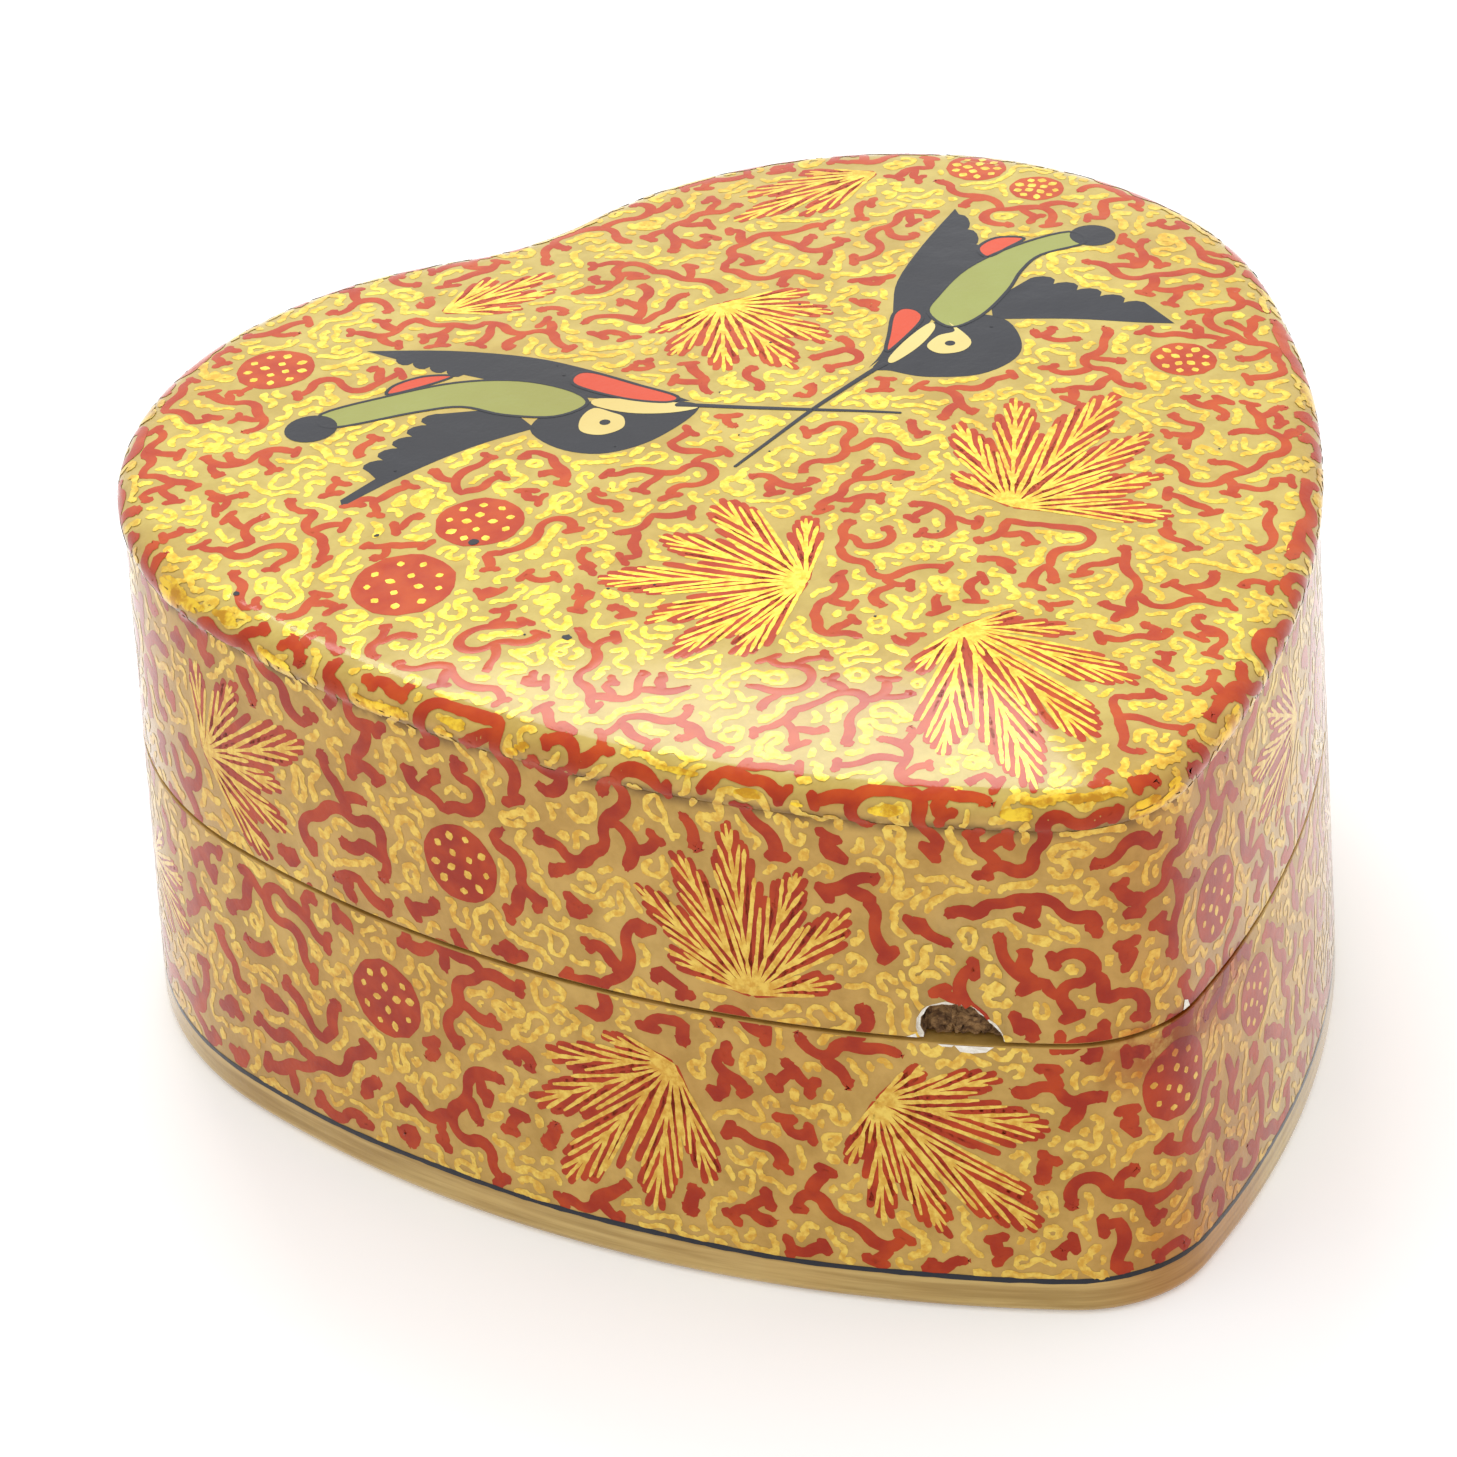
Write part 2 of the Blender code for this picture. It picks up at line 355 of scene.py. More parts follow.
# %% The wandering walk
TRIES = (0.0, 0.2, -0.2, 0.42, -0.42, 0.68, -0.68, 1.0, -1.0)
LOOK_AHEAD = 2.6  # in steps
CROWDING = 0.7  # what a millimetre of missing room ahead costs, in radians of bend


class Brush:
    """A brush's step, half width and gap in millimetres. Curl is the range of its bends in radians a
    millimetre, bend is how long each lasts, own is the gap to its own line, and flip is how often the
    next bend goes the other way."""

    def __init__(self, step, half, gap, curl, bend, own, flip):
        self.step, self.half, self.gap = step, half, gap
        self.curl, self.bend, self.own, self.flip = curl, bend, own, flip


CORAL = Brush(step=0.4, half=0.52, gap=1.25, curl=(0.3, 0.95), bend=(1.0, 2.6), own=2.0, flip=0.8)
FINE_CORAL = Brush(step=0.4, half=0.39, gap=1.4, curl=(0.3, 0.95), bend=(1.0, 2.6), own=2.0, flip=0.8)
THREAD = Brush(step=0.26, half=0.28, gap=0.24, curl=(0.3, 2.2), bend=(0.4, 1.6), own=0.7, flip=0.7)


def wander(canvases, brush, start, heading, length, rng, leaving=False):
    """The points of one line. Leaving eases the gap near the start, where a twig leaves its branch.
    Canvases holds (canvas, the gap that this brush keeps there)."""
    points = [start]
    x, y = start
    turn, left = 0.0, 0.0
    travelled = 0.0
    recent = max(4, round(brush.own * 1.25 / brush.step))
    while travelled < length:
        if left <= 0:
            left = rng.uniform(*brush.bend)
            size = rng.uniform(*brush.curl)
            same = -1 if rng.random() < brush.flip else 1
            turn = size * (same if turn > 0 else -same if turn < 0 else rng.choice((-1, 1)))
        best, cost_of_best = None, 1e9
        for k in TRIES:
            way = heading + turn * brush.step + k
            nx, ny = x + brush.step * math.cos(way), y + brush.step * math.sin(way)
            ax = x + LOOK_AHEAD * brush.step * math.cos(way)
            ay = y + LOOK_AHEAD * brush.step * math.sin(way)
            ease = 0.9 * (travelled + brush.step) - 1.2 if leaving else FAR
            cost = abs(k)
            for canvas, gap in canvases:
                room = canvas.clear(nx, ny) - brush.half
                if room < min(gap, ease):
                    break
                cost += CROWDING * max(0.0, min(gap, ease) - canvas.clear(ax, ay) + brush.half)
            else:
                if cost < cost_of_best and apart_from(points, nx, ny, brush.own, recent):
                    best, cost_of_best = (nx, ny, way), cost
        if best is None:
            break
        x, y, heading = best
        points.append((x, y))
        left -= brush.step
        travelled += brush.step
    return points


def apart_from(points, x, y, least, recent):
    for px, py in points[: max(0, len(points) - recent)]:
        if (px - x) ** 2 + (py - y) ** 2 < least * least:
            return False
    return True


def heading_at(points, i):
    a, b = points[max(i - 1, 0)], points[min(i + 1, len(points) - 1)]
    return math.atan2(b[1] - a[1], b[0] - a[0])


# %% Corals: a main line, its twigs and their knobs
def swelling(count, half, rng, ends=(0.75, 0.9)):
    """Half widths along a line, with the slow swell of a loaded brush."""
    phase, pace = rng.uniform(0, 6.3), rng.uniform(0.35, 0.6)
    swells = [0.13 * math.sin(phase + pace * i) for i in range(count)]
    halves = [half * (1 + swell + rng.uniform(-0.04, 0.04)) for swell in swells]
    halves[0] *= ends[0]
    halves[-1] *= ends[1]
    return halves


def knob(end, heading, half, rng):
    """The blob, crossbar or pair of lobes at a twig's end."""
    x, y = end
    kind = rng.random()
    across = heading + math.pi / 2 + rng.uniform(-0.5, 0.5)
    reach = rng.uniform(0.45, 0.75) if kind < 0.62 else rng.uniform(0.1, 0.3)
    size = half * (rng.uniform(0.8, 1.05) if kind < 0.62 else rng.uniform(1.1, 1.35))
    lean = rng.uniform(-0.25, 0.35)
    spots = []
    for k in (-1.35, -1.0, -0.4, 0.4, 1.0, 1.35):
        ahead = lean * abs(k)
        spots.append((
            x + k * reach * math.cos(across) + ahead * math.cos(heading),
            y + k * reach * math.sin(across) + ahead * math.sin(heading),
        ))
    return spots, [size * k for k in (0.55, 1.0, 0.9, 0.9, 1.0, 0.55)]


def coral(canvas, brush, start, heading, rng, length, depth=0, leaving=False):
    """One coral as strokes of (points, half widths). Everything it lays is noted on the canvas."""
    main = wander([(canvas, brush.gap)], brush, start, heading, length, rng, leaving)
    if len(main) < (6 if leaving else 5):
        return []
    strokes = [(main, swelling(len(main), brush.half, rng))]
    ends = [(main[-1], heading_at(main, len(main) - 1))]
    if not leaving:
        ends.append((main[0], heading_at(main, 0) + math.pi))
    for end, way in ends:
        strokes.append(knob(end, way, brush.half, rng))
    for points, halves in strokes:
        canvas.paint(points, halves)
    side = rng.choice((-1, 1))
    i = rng.randint(3, 6)
    while i < len(main) - 3 and depth < 3:
        way = heading_at(main, i) + side * rng.uniform(1.2, 1.75)
        reach = rng.uniform(2.0, 3.4) if rng.random() < 0.6 else rng.uniform(4.0, 8.0)
        strokes += coral(canvas, brush, main[i], way, rng, reach, depth + 1, True)
        side = -side if rng.random() < 0.75 else side
        i += rng.randint(4, 8)
    return strokes


CORAL_MISSES, THREAD_MISSES = 1500, 2500


def grow_corals(canvas, brush, low, high, rng):
    """Starts corals at random free spots, until none fits any more."""
    strokes, misses = [], 0
    while misses < CORAL_MISSES:
        x, y = rng.uniform(low[0], high[0]), rng.uniform(low[1], high[1])
        if canvas.clear(x, y) < brush.gap + brush.half + 0.15:
            misses += 1
            continue
        found = coral(canvas, brush, (x, y), rng.uniform(0, 2 * math.pi), rng, rng.uniform(9, 22))
        misses = 0 if found else misses + 1
        strokes += found
    return strokes


# %% Gold thread: it keeps a margin to the corals and fills what they leave
def rough(count, half, rng):
    """Half widths of a line in thick, grainy gold."""
    halves = [half * rng.uniform(0.72, 1.28) for _ in range(count)]
    halves[0] *= 0.6
    halves[-1] *= 0.6
    return halves


def grow_threads(paint, gold, low, high, rng):
    """Starts threads near the corals, each running both ways from its first spot."""
    strokes, misses = [], 0
    while misses < THREAD_MISSES:
        x, y = rng.uniform(low[0], high[0]), rng.uniform(low[1], high[1])
        if not 0.5 < paint.clear(x, y) < 2.6 or gold.clear(x, y) < 0.48:
            misses += 1
            continue
        both, heading = [(paint, THREAD.gap), (gold, 0.17)], rng.uniform(0, 2 * math.pi)
        forward = wander(both, THREAD, (x, y), heading, rng.uniform(2, 16), rng)
        backward = wander(both, THREAD, (x, y), heading + math.pi, rng.uniform(0, 8), rng)
        points = backward[:0:-1] + forward
        if len(points) < 4:
            misses += 1
            continue
        halves = rough(len(points), THREAD.half * rng.uniform(0.8, 1.25), rng)
        gold.paint(points, halves, 1.2)
        strokes.append((points, halves))
        misses = 0
    return strokes


# %% [markdown]
# ## Chinar leaves and berries
# A leaf is a fan of lobes from one point. Each lobe has a vein, and fine strokes leave it at one small
# angle, like the barbs of a feather. The painter lays them in red first, and draws the gold ones between.
# A berry is a red disc with a ring of gold dots.

# %% A leaf's strokes
BARB_ANGLE = math.radians(12.5)
BARB_SPACING = 3.1


def leaf(apex, lobes, rng):
    """Red and gold strokes and the outline of a leaf, with lobes of (direction in degrees, length)."""
    turns = [math.radians(d) for d, _ in lobes]
    borders = [turns[0] - 0.24, *[(a + b) / 2 for a, b in zip(turns, turns[1:])], turns[-1] + 0.24]
    red, gold, rim = [], [], []
    for n, (direction, (_, length)) in enumerate(zip(turns, lobes)):
        low, high = borders[n], borders[n + 1]

        def limit(angle):
            share = (angle - direction) / ((high if angle > direction else low) - direction)
            return length * (1 - 0.38 * min(1.0, abs(share)) ** 1.35)

        def barb(start, way, trim):
            points = []
            reach = 0.0
            while True:
                x, y = start * math.cos(direction), start * math.sin(direction)
                x, y = x + reach * math.cos(way), y + reach * math.sin(way)
                angle = direction + math.remainder(math.atan2(y, x) - direction, 2 * math.pi)
                far = math.hypot(x, y)
                if far > 0.3 and (far > limit(angle) - trim or not low - 0.02 <= angle <= high + 0.02):
                    return points
                points.append((apex[0] + x, apex[1] + y))
                reach += 0.45

        gold.append(barb(0.0, direction, rng.uniform(-0.1, 0.3)))
        for side in (-1, 1):
            start = rng.uniform(0.0, 0.5)
            while start < length * 0.86:
                way = direction + side * BARB_ANGLE * rng.uniform(0.85, 1.15)
                gold.append(barb(start, way, rng.uniform(0.0, 0.5)))
                red.append(barb(start + 0.5 * BARB_SPACING, way, rng.uniform(-0.5, 0.1)))
                start += BARB_SPACING * rng.uniform(0.85, 1.1)
            red.append(barb(0.2, direction + side * BARB_ANGLE * 0.45, rng.uniform(-0.3, 0.1)))
            red.append(barb(0.2, direction + side * BARB_ANGLE * 1.55, rng.uniform(-0.3, 0.1)))
        for angle in np.linspace(low, high, 7):
            reach = limit(angle) + 0.35
            rim.append((apex[0] + reach * math.cos(angle), apex[1] + reach * math.sin(angle)))
    middle = turns[len(turns) // 2]
    rim.append((apex[0] - 0.8 * math.cos(middle), apex[1] - 0.8 * math.sin(middle)))
    reds = [(p, [0.3, *[0.34] * (len(p) - 2), 0.24]) for p in red if len(p) > 2]
    golds = [(p, rough(len(p), 0.15, rng)) for p in gold if len(p) > 2]
    return reds, golds, rim


# %% A berry's disc and dots
def ring_of(centre, radius, count=26, wobble=0.0, rng=None):
    turns = [2 * math.pi * i / count for i in range(count)]
    sizes = [radius * (1 + (rng.uniform(-wobble, wobble) if rng else 0)) for _ in turns]
    return [(centre[0] + r * math.cos(t), centre[1] + r * math.sin(t)) for r, t in zip(sizes, turns)]


def berry(centre, radius, rng):
    """The disc's outline and its gold dots, each a very short stroke."""
    dots = []
    first = rng.uniform(0, 1)
    for count, share in ((9, 0.7), (4, 0.3)):
        for i in range(count):
            turn = first + 2 * math.pi * (i + rng.uniform(-0.12, 0.12)) / count
            across, along = math.cos(turn), math.sin(turn)
            x, y = centre[0] + share * radius * across, centre[1] + share * radius * along
            tail = 0.32 * rng.uniform(0.6, 1.2)
            ends = [(x - tail * across * k, y - tail * along * k) for k in (-1, -0.4, 0.4, 1)]
            size = 0.3 * rng.uniform(0.85, 1.15)
            dots.append((ends, [0.35 * size, size, size, 0.35 * size]))
    return ring_of(centre, radius, wobble=0.025, rng=rng), dots


# %% [markdown]
# ## Two birds
# Two kingfishers fly towards each other, and their long beaks cross. Each is a few flat shapes: dark
# wings with scalloped feathers, a dark round head, a long green body with a dark ball at the tail,
# orange patches, and a cream eye and throat. Smooth outlines pass through a handful of points.


# %% Smooth and feathered outlines
def smooth(points, steps=5, closed=True):
    """A rounded line through the points."""
    count = len(points)
    found = []
    for i in range(count if closed else count - 1):
        if closed:
            a, b, c, d = (np.array(points[(i + k) % count], float) for k in (-1, 0, 1, 2))
        else:
            a, b, c, d = (np.array(points[min(max(i + k, 0), count - 1)], float) for k in (-1, 0, 1, 2))
        for t in np.arange(steps) / steps:
            found.append(tuple(0.5 * (
                2 * b + (c - a) * t + (2 * a - 5 * b + 4 * c - d) * t**2 + (3 * b - a - 3 * c + d) * t**3
            )))
    return found if closed else [*found, tuple(points[-1])]


def feathers(start, end, count, depth):
    """A scalloped edge from start to end, with each feather tip pointing back to the start."""
    start, end = np.array(start, float), np.array(end, float)
    leg = end - start
    out = np.array([-leg[1], leg[0]]) / np.linalg.norm(leg)
    found = []
    for i in range(count):
        for t, bulge in ((0.0, 0.0), (0.12, 0.75), (0.35, 1.0), (0.65, 0.85), (0.9, 0.4)):
            found.append(tuple(start + leg * (i + t) / count + out * depth * bulge))
    return [*found, tuple(end)]


# %% The left bird and the right bird, each as named outlines
def left_bird():
    wing_back = smooth([
        (-18.6, 36.2), (-13.4, 32.2), (-9, 27.6), (-6.4, 23.4), (-4, 18.6), (-2.3, 14.6),
    ], 4, False)
    upper = [*wing_back, (-5, 16), (-9, 20), (-12.5, 25), *feathers((-14.4, 28.2), (-17.4, 33.6), 4, 0.6)]
    head = smooth([
        (-2.4, 14.4), (-2.3, 13.2), (-4.6, 11.8), (-8.2, 10.8), (-11.6, 11.4), (-13.8, 14), (-14.2, 17.6),
        (-11.5, 19.3), (-8, 18.6), (-5, 16.6),
    ])
    low_edge = smooth([(-13.8, 17.6), (-19, 17.9), (-25, 17.3), (-30.6, 16.2)], 4, False)
    low_feathers = feathers((-26.8, 19.4), (-18.5, 23.8), 5, 0.9)
    lower = [*low_edge, (-30.3, 17.1), (-26.8, 18.2), *low_feathers, (-14, 21.5)]
    body = smooth([
        (-26, 27), (-25.8, 29.4), (-20.5, 28.7), (-15.4, 27.4), (-11.4, 24.8), (-9, 21.2), (-8.9, 18.6),
        (-11.8, 18.3), (-14.8, 20.8), (-16.8, 23.8), (-20, 25.2),
    ])
    cheek = smooth([
        (-8.3, 21.6), (-7.6, 23.1), (-6.3, 22.7), (-4.5, 19.2), (-2.8, 15.8), (-3.9, 15.4), (-6.3, 17.8),
    ])
    back = smooth([(-20.4, 28.9), (-19.4, 29.9), (-17, 29.8), (-15.2, 28.5), (-17.6, 28.4)])
    throat = smooth([
        (-8.6, 18.1), (-7.8, 18.8), (-5, 16.5), (-2.5, 14.1), (-2.5, 13.3), (-4.6, 13.9), (-7, 15.6),
    ])
    eye = smooth([
        (-8.8, 17.7), (-10.3, 16.9), (-11.2, 15.2), (-10.2, 13.8), (-8.4, 13.8), (-7.6, 15.2), (-8, 16.4),
    ])
    return dict(
        dark=[upper, head, lower], green=[body], orange=[cheek, back], cream=[throat, eye],
        tail=((-27.4, 27.9), 2.0), pupil=((-9.1, 15.3), 0.42),
        beak=([(-3.4, 14.6), (-1.6, 13.2), (1, 11.1), (4.5, 8.4), (7.5, 6.2), (10, 4.3)], 0.3),
    )


def right_bird():
    wing_back = smooth([
        (29.1, 31), (24, 26.8), (19.6, 22.6), (17.4, 19.2), (15.6, 16), (13, 13), (11.2, 11.6),
    ], 4, False)
    upper = [*wing_back[::-1], *feathers((28.9, 30), (26.9, 22.2), 3, 0.5), (22, 18.5), (18, 15)]
    head = smooth([
        (11.6, 11.6), (12.4, 10.3), (14.2, 8.1), (17.8, 6.4), (21.3, 7.2), (23.1, 9.6), (23.5, 13.2),
        (20.8, 15.4), (17, 14.6),
    ])
    low_edge = smooth([(22.8, 13.4), (28, 10.6), (32, 8), (34.6, 6.6)], 4, False)
    lower = [*low_edge, *feathers((33.8, 9.4), (28.4, 17.8), 5, -0.9)[1:], (24, 16)]
    body = smooth([
        (34.9, 21), (34.7, 23.2), (30, 23.1), (25, 21.6), (21, 18.8), (19.1, 16.8), (19.5, 13.9),
        (22.4, 14.4), (26, 16.9), (28.4, 19.2), (31, 20.8),
    ])
    cheek = smooth([
        (18.6, 17.4), (17.9, 18.4), (16.7, 17.9), (15, 15.4), (13.6, 13.3), (14.4, 13.4), (18, 15.9),
    ])
    back = smooth([(27.3, 22.5), (27.4, 24.2), (29.4, 25), (31.2, 23.9), (29.4, 23.1)])
    throat = smooth([(18.4, 15.3), (15.8, 14), (13.2, 12.1), (13.2, 11.3), (16, 12.5), (18.3, 14.3)])
    eye = smooth([
        (19.7, 14.6), (19.4, 13.2), (18, 13.2), (16.5, 12.2), (16.8, 10.7), (18.5, 10.2), (19.8, 11.4),
    ])
    return dict(
        dark=[upper, head, lower], green=[body], orange=[cheek, back], cream=[throat, eye],
        tail=((36, 21.8), 1.75), pupil=((18.2, 11.7), 0.4),
        beak=([(12.6, 11.5), (11.4, 11.1), (8, 9.7), (4.5, 8.2), (0, 6.0), (-4.1, 4)], 0.28),
    )


# %% [markdown]
# ## Where everything is painted
# The birds, leaves and berries come first. The corals then fill the ground around them, and the gold
# thread comes last. On the top, places are millimetres from the middle of the heart. On the side, they
# are millimetres walked from the tip, and the height.

# %% Leaves and berries of the top and of the side
# A leaf is its apex and the (direction, length) of each lobe. A berry is its centre and radius.
TOP_LEAVES = [
    ((-7.2, -13), [(62, 9), (92, 14), (118, 13), (144, 15.5), (170, 12.5), (192, 13.8), (212, 11)]),
    ((-0.5, -24.5), [(-152, 7), (-124, 16), (-104, 21), (-86, 18), (-58, 14.5), (-30, 8.5), (-6, 5)]),
    ((10.6, -11.7), [(-32, 12), (-6, 12), (18, 15), (36, 18.5), (60, 16), (80, 13), (102, 7)]),
    ((6.8, 26.8), [(190, 6.5), (216, 9), (243, 11), (268, 12.5), (292, 11), (316, 9), (342, 7)]),
    ((-11, 38.4), [(-30, 6), (-12, 9), (6, 10.5), (26, 7)]),
    ((27, 40), [(148, 6), (168, 11), (186, 13.5), (204, 9)]),
]
TOP_BERRIES = [
    ((-31.6, 4), 3.9), ((-23.3, 8), 3.3), ((-25.4, 38), 3.0),
    ((32.5, 1.5), 2.5), ((36.2, 31), 2.1), ((34, 36.6), 2.3),
]
SIDE_LEAVES = [
    ((-28.7, 25.6), [(18, 7), (46, 11.5), (70, 12.2), (95, 14.8), (115, 12.8), (139, 11.8), (158, 7.5)]),
    ((-35.3, 18.3), [(168, 6), (190, 11.5), (208, 14.2), (232, 16.2), (260, 13.6), (284, 10.5)]),
    ((-19.7, 17.7), [(-112, 6.5), (-90, 11), (-68, 12.3), (-42, 15.5), (-6, 13), (17, 9.8), (42, 5.5)]),
    ((-79, 30.5), [(-42, 10), (-17, 10.5), (4, 9.5), (24, 13.5), (60, 9), (92, 8)]),
    ((29.5, 33.5), [(124, 8), (148, 10), (170, 12.5), (192, 11.5), (214, 9)]),
    ((-93, 14), [(-40, 7), (-12, 9.5), (14, 9), (44, 6)]),
    ((47, 14), [(60, 7), (88, 9), (116, 9), (145, 8)]),
    ((62, 36), [(-130, 8), (-104, 11), (-78, 12), (-52, 9)]),
    ((84, 17), [(-214, 8), (-192, 11), (-170, 12), (-150, 9)]),
    ((101, 28), [(38, 8), (64, 12), (90, 12), (118, 9)]),
    ((124, 16), [(-128, 8), (-100, 11), (-72, 10), (-46, 8)]),
    ((141, 34), [(-210, 8), (-184, 12), (-160, 11), (-136, 8)]),
    ((-107, 27), [(58, 9), (84, 13), (110, 12), (136, 8)]),
    ((-126, 17), [(-60, 8), (-34, 11), (-8, 12), (18, 9)]),
]
SIDE_BERRIES = [
    ((-52.4, 31), 3.3), ((-60.5, 16.5), 3.3), ((9.8, 29.8), 3.3), ((3.2, 18.2), 3.3), ((16.4, 17.6), 3.1),
    ((40, 30), 3.2), ((71, 15), 3.3), ((95, 13), 3.1), ((84, 33), 3.2), ((120, 32), 3.3),
    ((-124, 33), 3.3), ((-108, 12), 3.1), ((-142, 14), 3.2), ((-96, 30), 3.0),
]


# %% One sheet with its painting
class Painting:
    """All strokes and filled shapes of one sheet, and the canvases that keep them apart."""

    def __init__(self, low, high, wraps, cell):
        self.low, self.high = low, high
        self.paint, self.gold = Canvas(low, high, wraps, cell), Canvas(low, high, wraps, cell)
        self.red, self.thread, self.leaf_red, self.leaf_gold, self.discs = [], [], [], [], []

    def add_leaf(self, apex, lobes, rng):
        red, gold, rim = leaf(apex, lobes, rng)
        self.leaf_red += red
        self.leaf_gold += gold
        for canvas in (self.paint, self.gold):
            canvas.fill(rim)

    def add_berry(self, centre, radius, rng):
        disc, dots = berry(centre, radius, rng)
        self.discs.append(disc)
        self.leaf_gold += dots
        for canvas in (self.paint, self.gold):
            canvas.fill(ring_of(centre, radius))

    def fill_ground(self, brush, rng):
        self.red += grow_corals(self.paint, brush, self.low, self.high, rng)
        self.thread += grow_threads(self.paint, self.gold, self.low, self.high, rng)


MOTIF_EASE = 0.55


def ease_motif_gap(painting):
    """Lets the corals come nearer to the motifs than to each other, by that many millimetres."""
    painting.paint.far[painting.paint.far > 0] += MOTIF_EASE


# %% Paint the top sheet
rng = random.Random(7)
TOP_EDGE = 1.3
GRID = 0.15
top_sheet = Painting((-HALF, -LENGTH / 2), (HALF, LENGTH / 2), False, GRID)
BIRDS = [left_bird(), right_bird()]
for bird in BIRDS:
    for outline in bird["dark"] + bird["green"] + bird["orange"]:
        top_sheet.paint.fill(outline)
        top_sheet.gold.fill(outline)
    for canvas in (top_sheet.paint, top_sheet.gold):
        canvas.fill(ring_of(*bird["tail"]))
        beak, half = bird["beak"]
        beak = smooth(beak, 6, False)
        canvas.paint(beak, [half] * len(beak))
for place in TOP_LEAVES:
    top_sheet.add_leaf(*place, rng)
for place in TOP_BERRIES:
    top_sheet.add_berry(*place, rng)
ease_motif_gap(top_sheet)
rows, columns, xs, ys = top_sheet.paint.cells(-HALF, -LENGTH / 2, HALF, LENGTH / 2)
inside = -signed_distance(LINE - OUTWARD * TOP_EDGE, xs, ys)
top_sheet.paint.keep_nearest(rows, columns, inside + 1.5)
top_sheet.gold.keep_nearest(rows, columns, inside + 0.4)
top_sheet.fill_ground(FINE_CORAL, rng)
print(f"top: {len(top_sheet.red)} coral strokes, {len(top_sheet.thread)} gold threads")

# %% Paint the side sheet
PROFILE = [(0.0, 0.0), *[(-inset, height) for inset, height, _ in EDGE]]
OUT, RISE = np.array([p[0] for p in PROFILE]), np.array([p[1] for p in PROFILE])
CLIMB = np.concatenate([[0], np.cumsum(np.hypot(np.diff(OUT), np.diff(RISE)))])
SIDE_TOP = float(np.interp(TOP_EDGE - 0.2, -OUT[1:][OUT[1:] < 0.2], CLIMB[1:][OUT[1:] < 0.2]))
FOOT_LINE = 2.95
SIDE_FOOT = FOOT_LINE + 0.35
side_cell = ROUND / round(ROUND / GRID)
side_sheet = Painting((-ROUND / 2, SIDE_FOOT), (ROUND / 2, SIDE_TOP), True, side_cell)
for place in SIDE_LEAVES:
    side_sheet.add_leaf(*place, rng)
for place in SIDE_BERRIES:
    side_sheet.add_berry(*place, rng)
ease_motif_gap(side_sheet)
rows, columns, xs, ys = side_sheet.paint.cells(-ROUND / 2, SIDE_FOOT, ROUND / 2 - side_cell, SIDE_TOP)
to_edge = np.minimum(ys - SIDE_FOOT, SIDE_TOP - ys)[:, None] * np.ones((1, len(columns)))
side_sheet.paint.keep_nearest(rows, columns, to_edge + 1.45)
side_sheet.gold.keep_nearest(rows, columns, to_edge + 0.45)
side_sheet.fill_ground(CORAL, rng)
print(f"side: {len(side_sheet.red)} coral strokes, {len(side_sheet.thread)} gold threads")

# %% [markdown]
# ## Raised paint
# Varnish makes every brush line stand a little proud. Each stroke is a curve with a round bevel, and each
# point's radius is the brush's half width. Turned into a mesh, it loses its lower half and is pressed
# almost flat. Then the flat sheet is wrapped onto the box, point by point.

# %% From flat sheets to the box
BEAD_LIFT, SLOPE_LIFT = 0.035, 0.02
SLOPE = 0.98  # a normal that rises less than this is on a slope
RAY_START = 0.06  # above the dome, in metres
profile_at = [0.0, CROWN_UNDER - 0.2, *CLIMB[1:]]
profile_out = np.interp(profile_at, CLIMB, OUT)
profile_rise = np.interp(profile_at, CLIMB, RISE)
NORMAL_OUT = np.gradient(profile_rise, profile_at)
NORMAL_RISE = -np.gradient(profile_out, profile_at)


def on_side(flat):
    """Places on the side, or on the rolled edge, of (walked, climbed, lift) in millimetres. The bead of
    the edge is so narrow that flat faces would dip under its skin, so the paint lies higher there."""
    walked, climbed = flat[:, 0] % ROUND, flat[:, 1]
    lift = flat[:, 2] + BEAD_LIFT * (climbed > CROWN_UNDER)
    place = [np.interp(walked, WALKED, np.append(LINE[:, k], LINE[0, k])) for k in (0, 1)]
    way = [np.interp(walked, WALKED, np.append(OUTWARD[:, k], OUTWARD[0, k])) for k in (0, 1)]
    out = np.interp(climbed, CLIMB, OUT) + lift * np.interp(climbed, profile_at, NORMAL_OUT)
    rise = np.interp(climbed, CLIMB, RISE) + lift * np.interp(climbed, profile_at, NORMAL_RISE)
    return np.column_stack([place[0] + way[0] * out, place[1] + way[1] * out, rise])


def on_top(flat):
    """Places on the domed crown of (x, y, lift) in millimetres. Flat faces dip under the slopes too."""
    found = []
    for x, y, lift in flat:
        spot, normal, _, _ = crown_tree.ray_cast(Vector((x * MM, y * MM, RAY_START)), Vector((0, 0, -1)))
        lift += SLOPE_LIFT if spot and normal.z < SLOPE else 0.0
        found.append(spot / MM + normal * lift if spot else Vector((x, y, DOME_TOP)))
    return np.array(found)


# %% Flat strokes and flat patches
def beyond(end, before, half):
    """A point a little past a stroke's end, where the brush leaves it."""
    (x, y), (x0, y0) = end, before
    share = 0.5 * half / math.hypot(x - x0, y - y0)
    return x + (x - x0) * share, y + (y - y0) * share


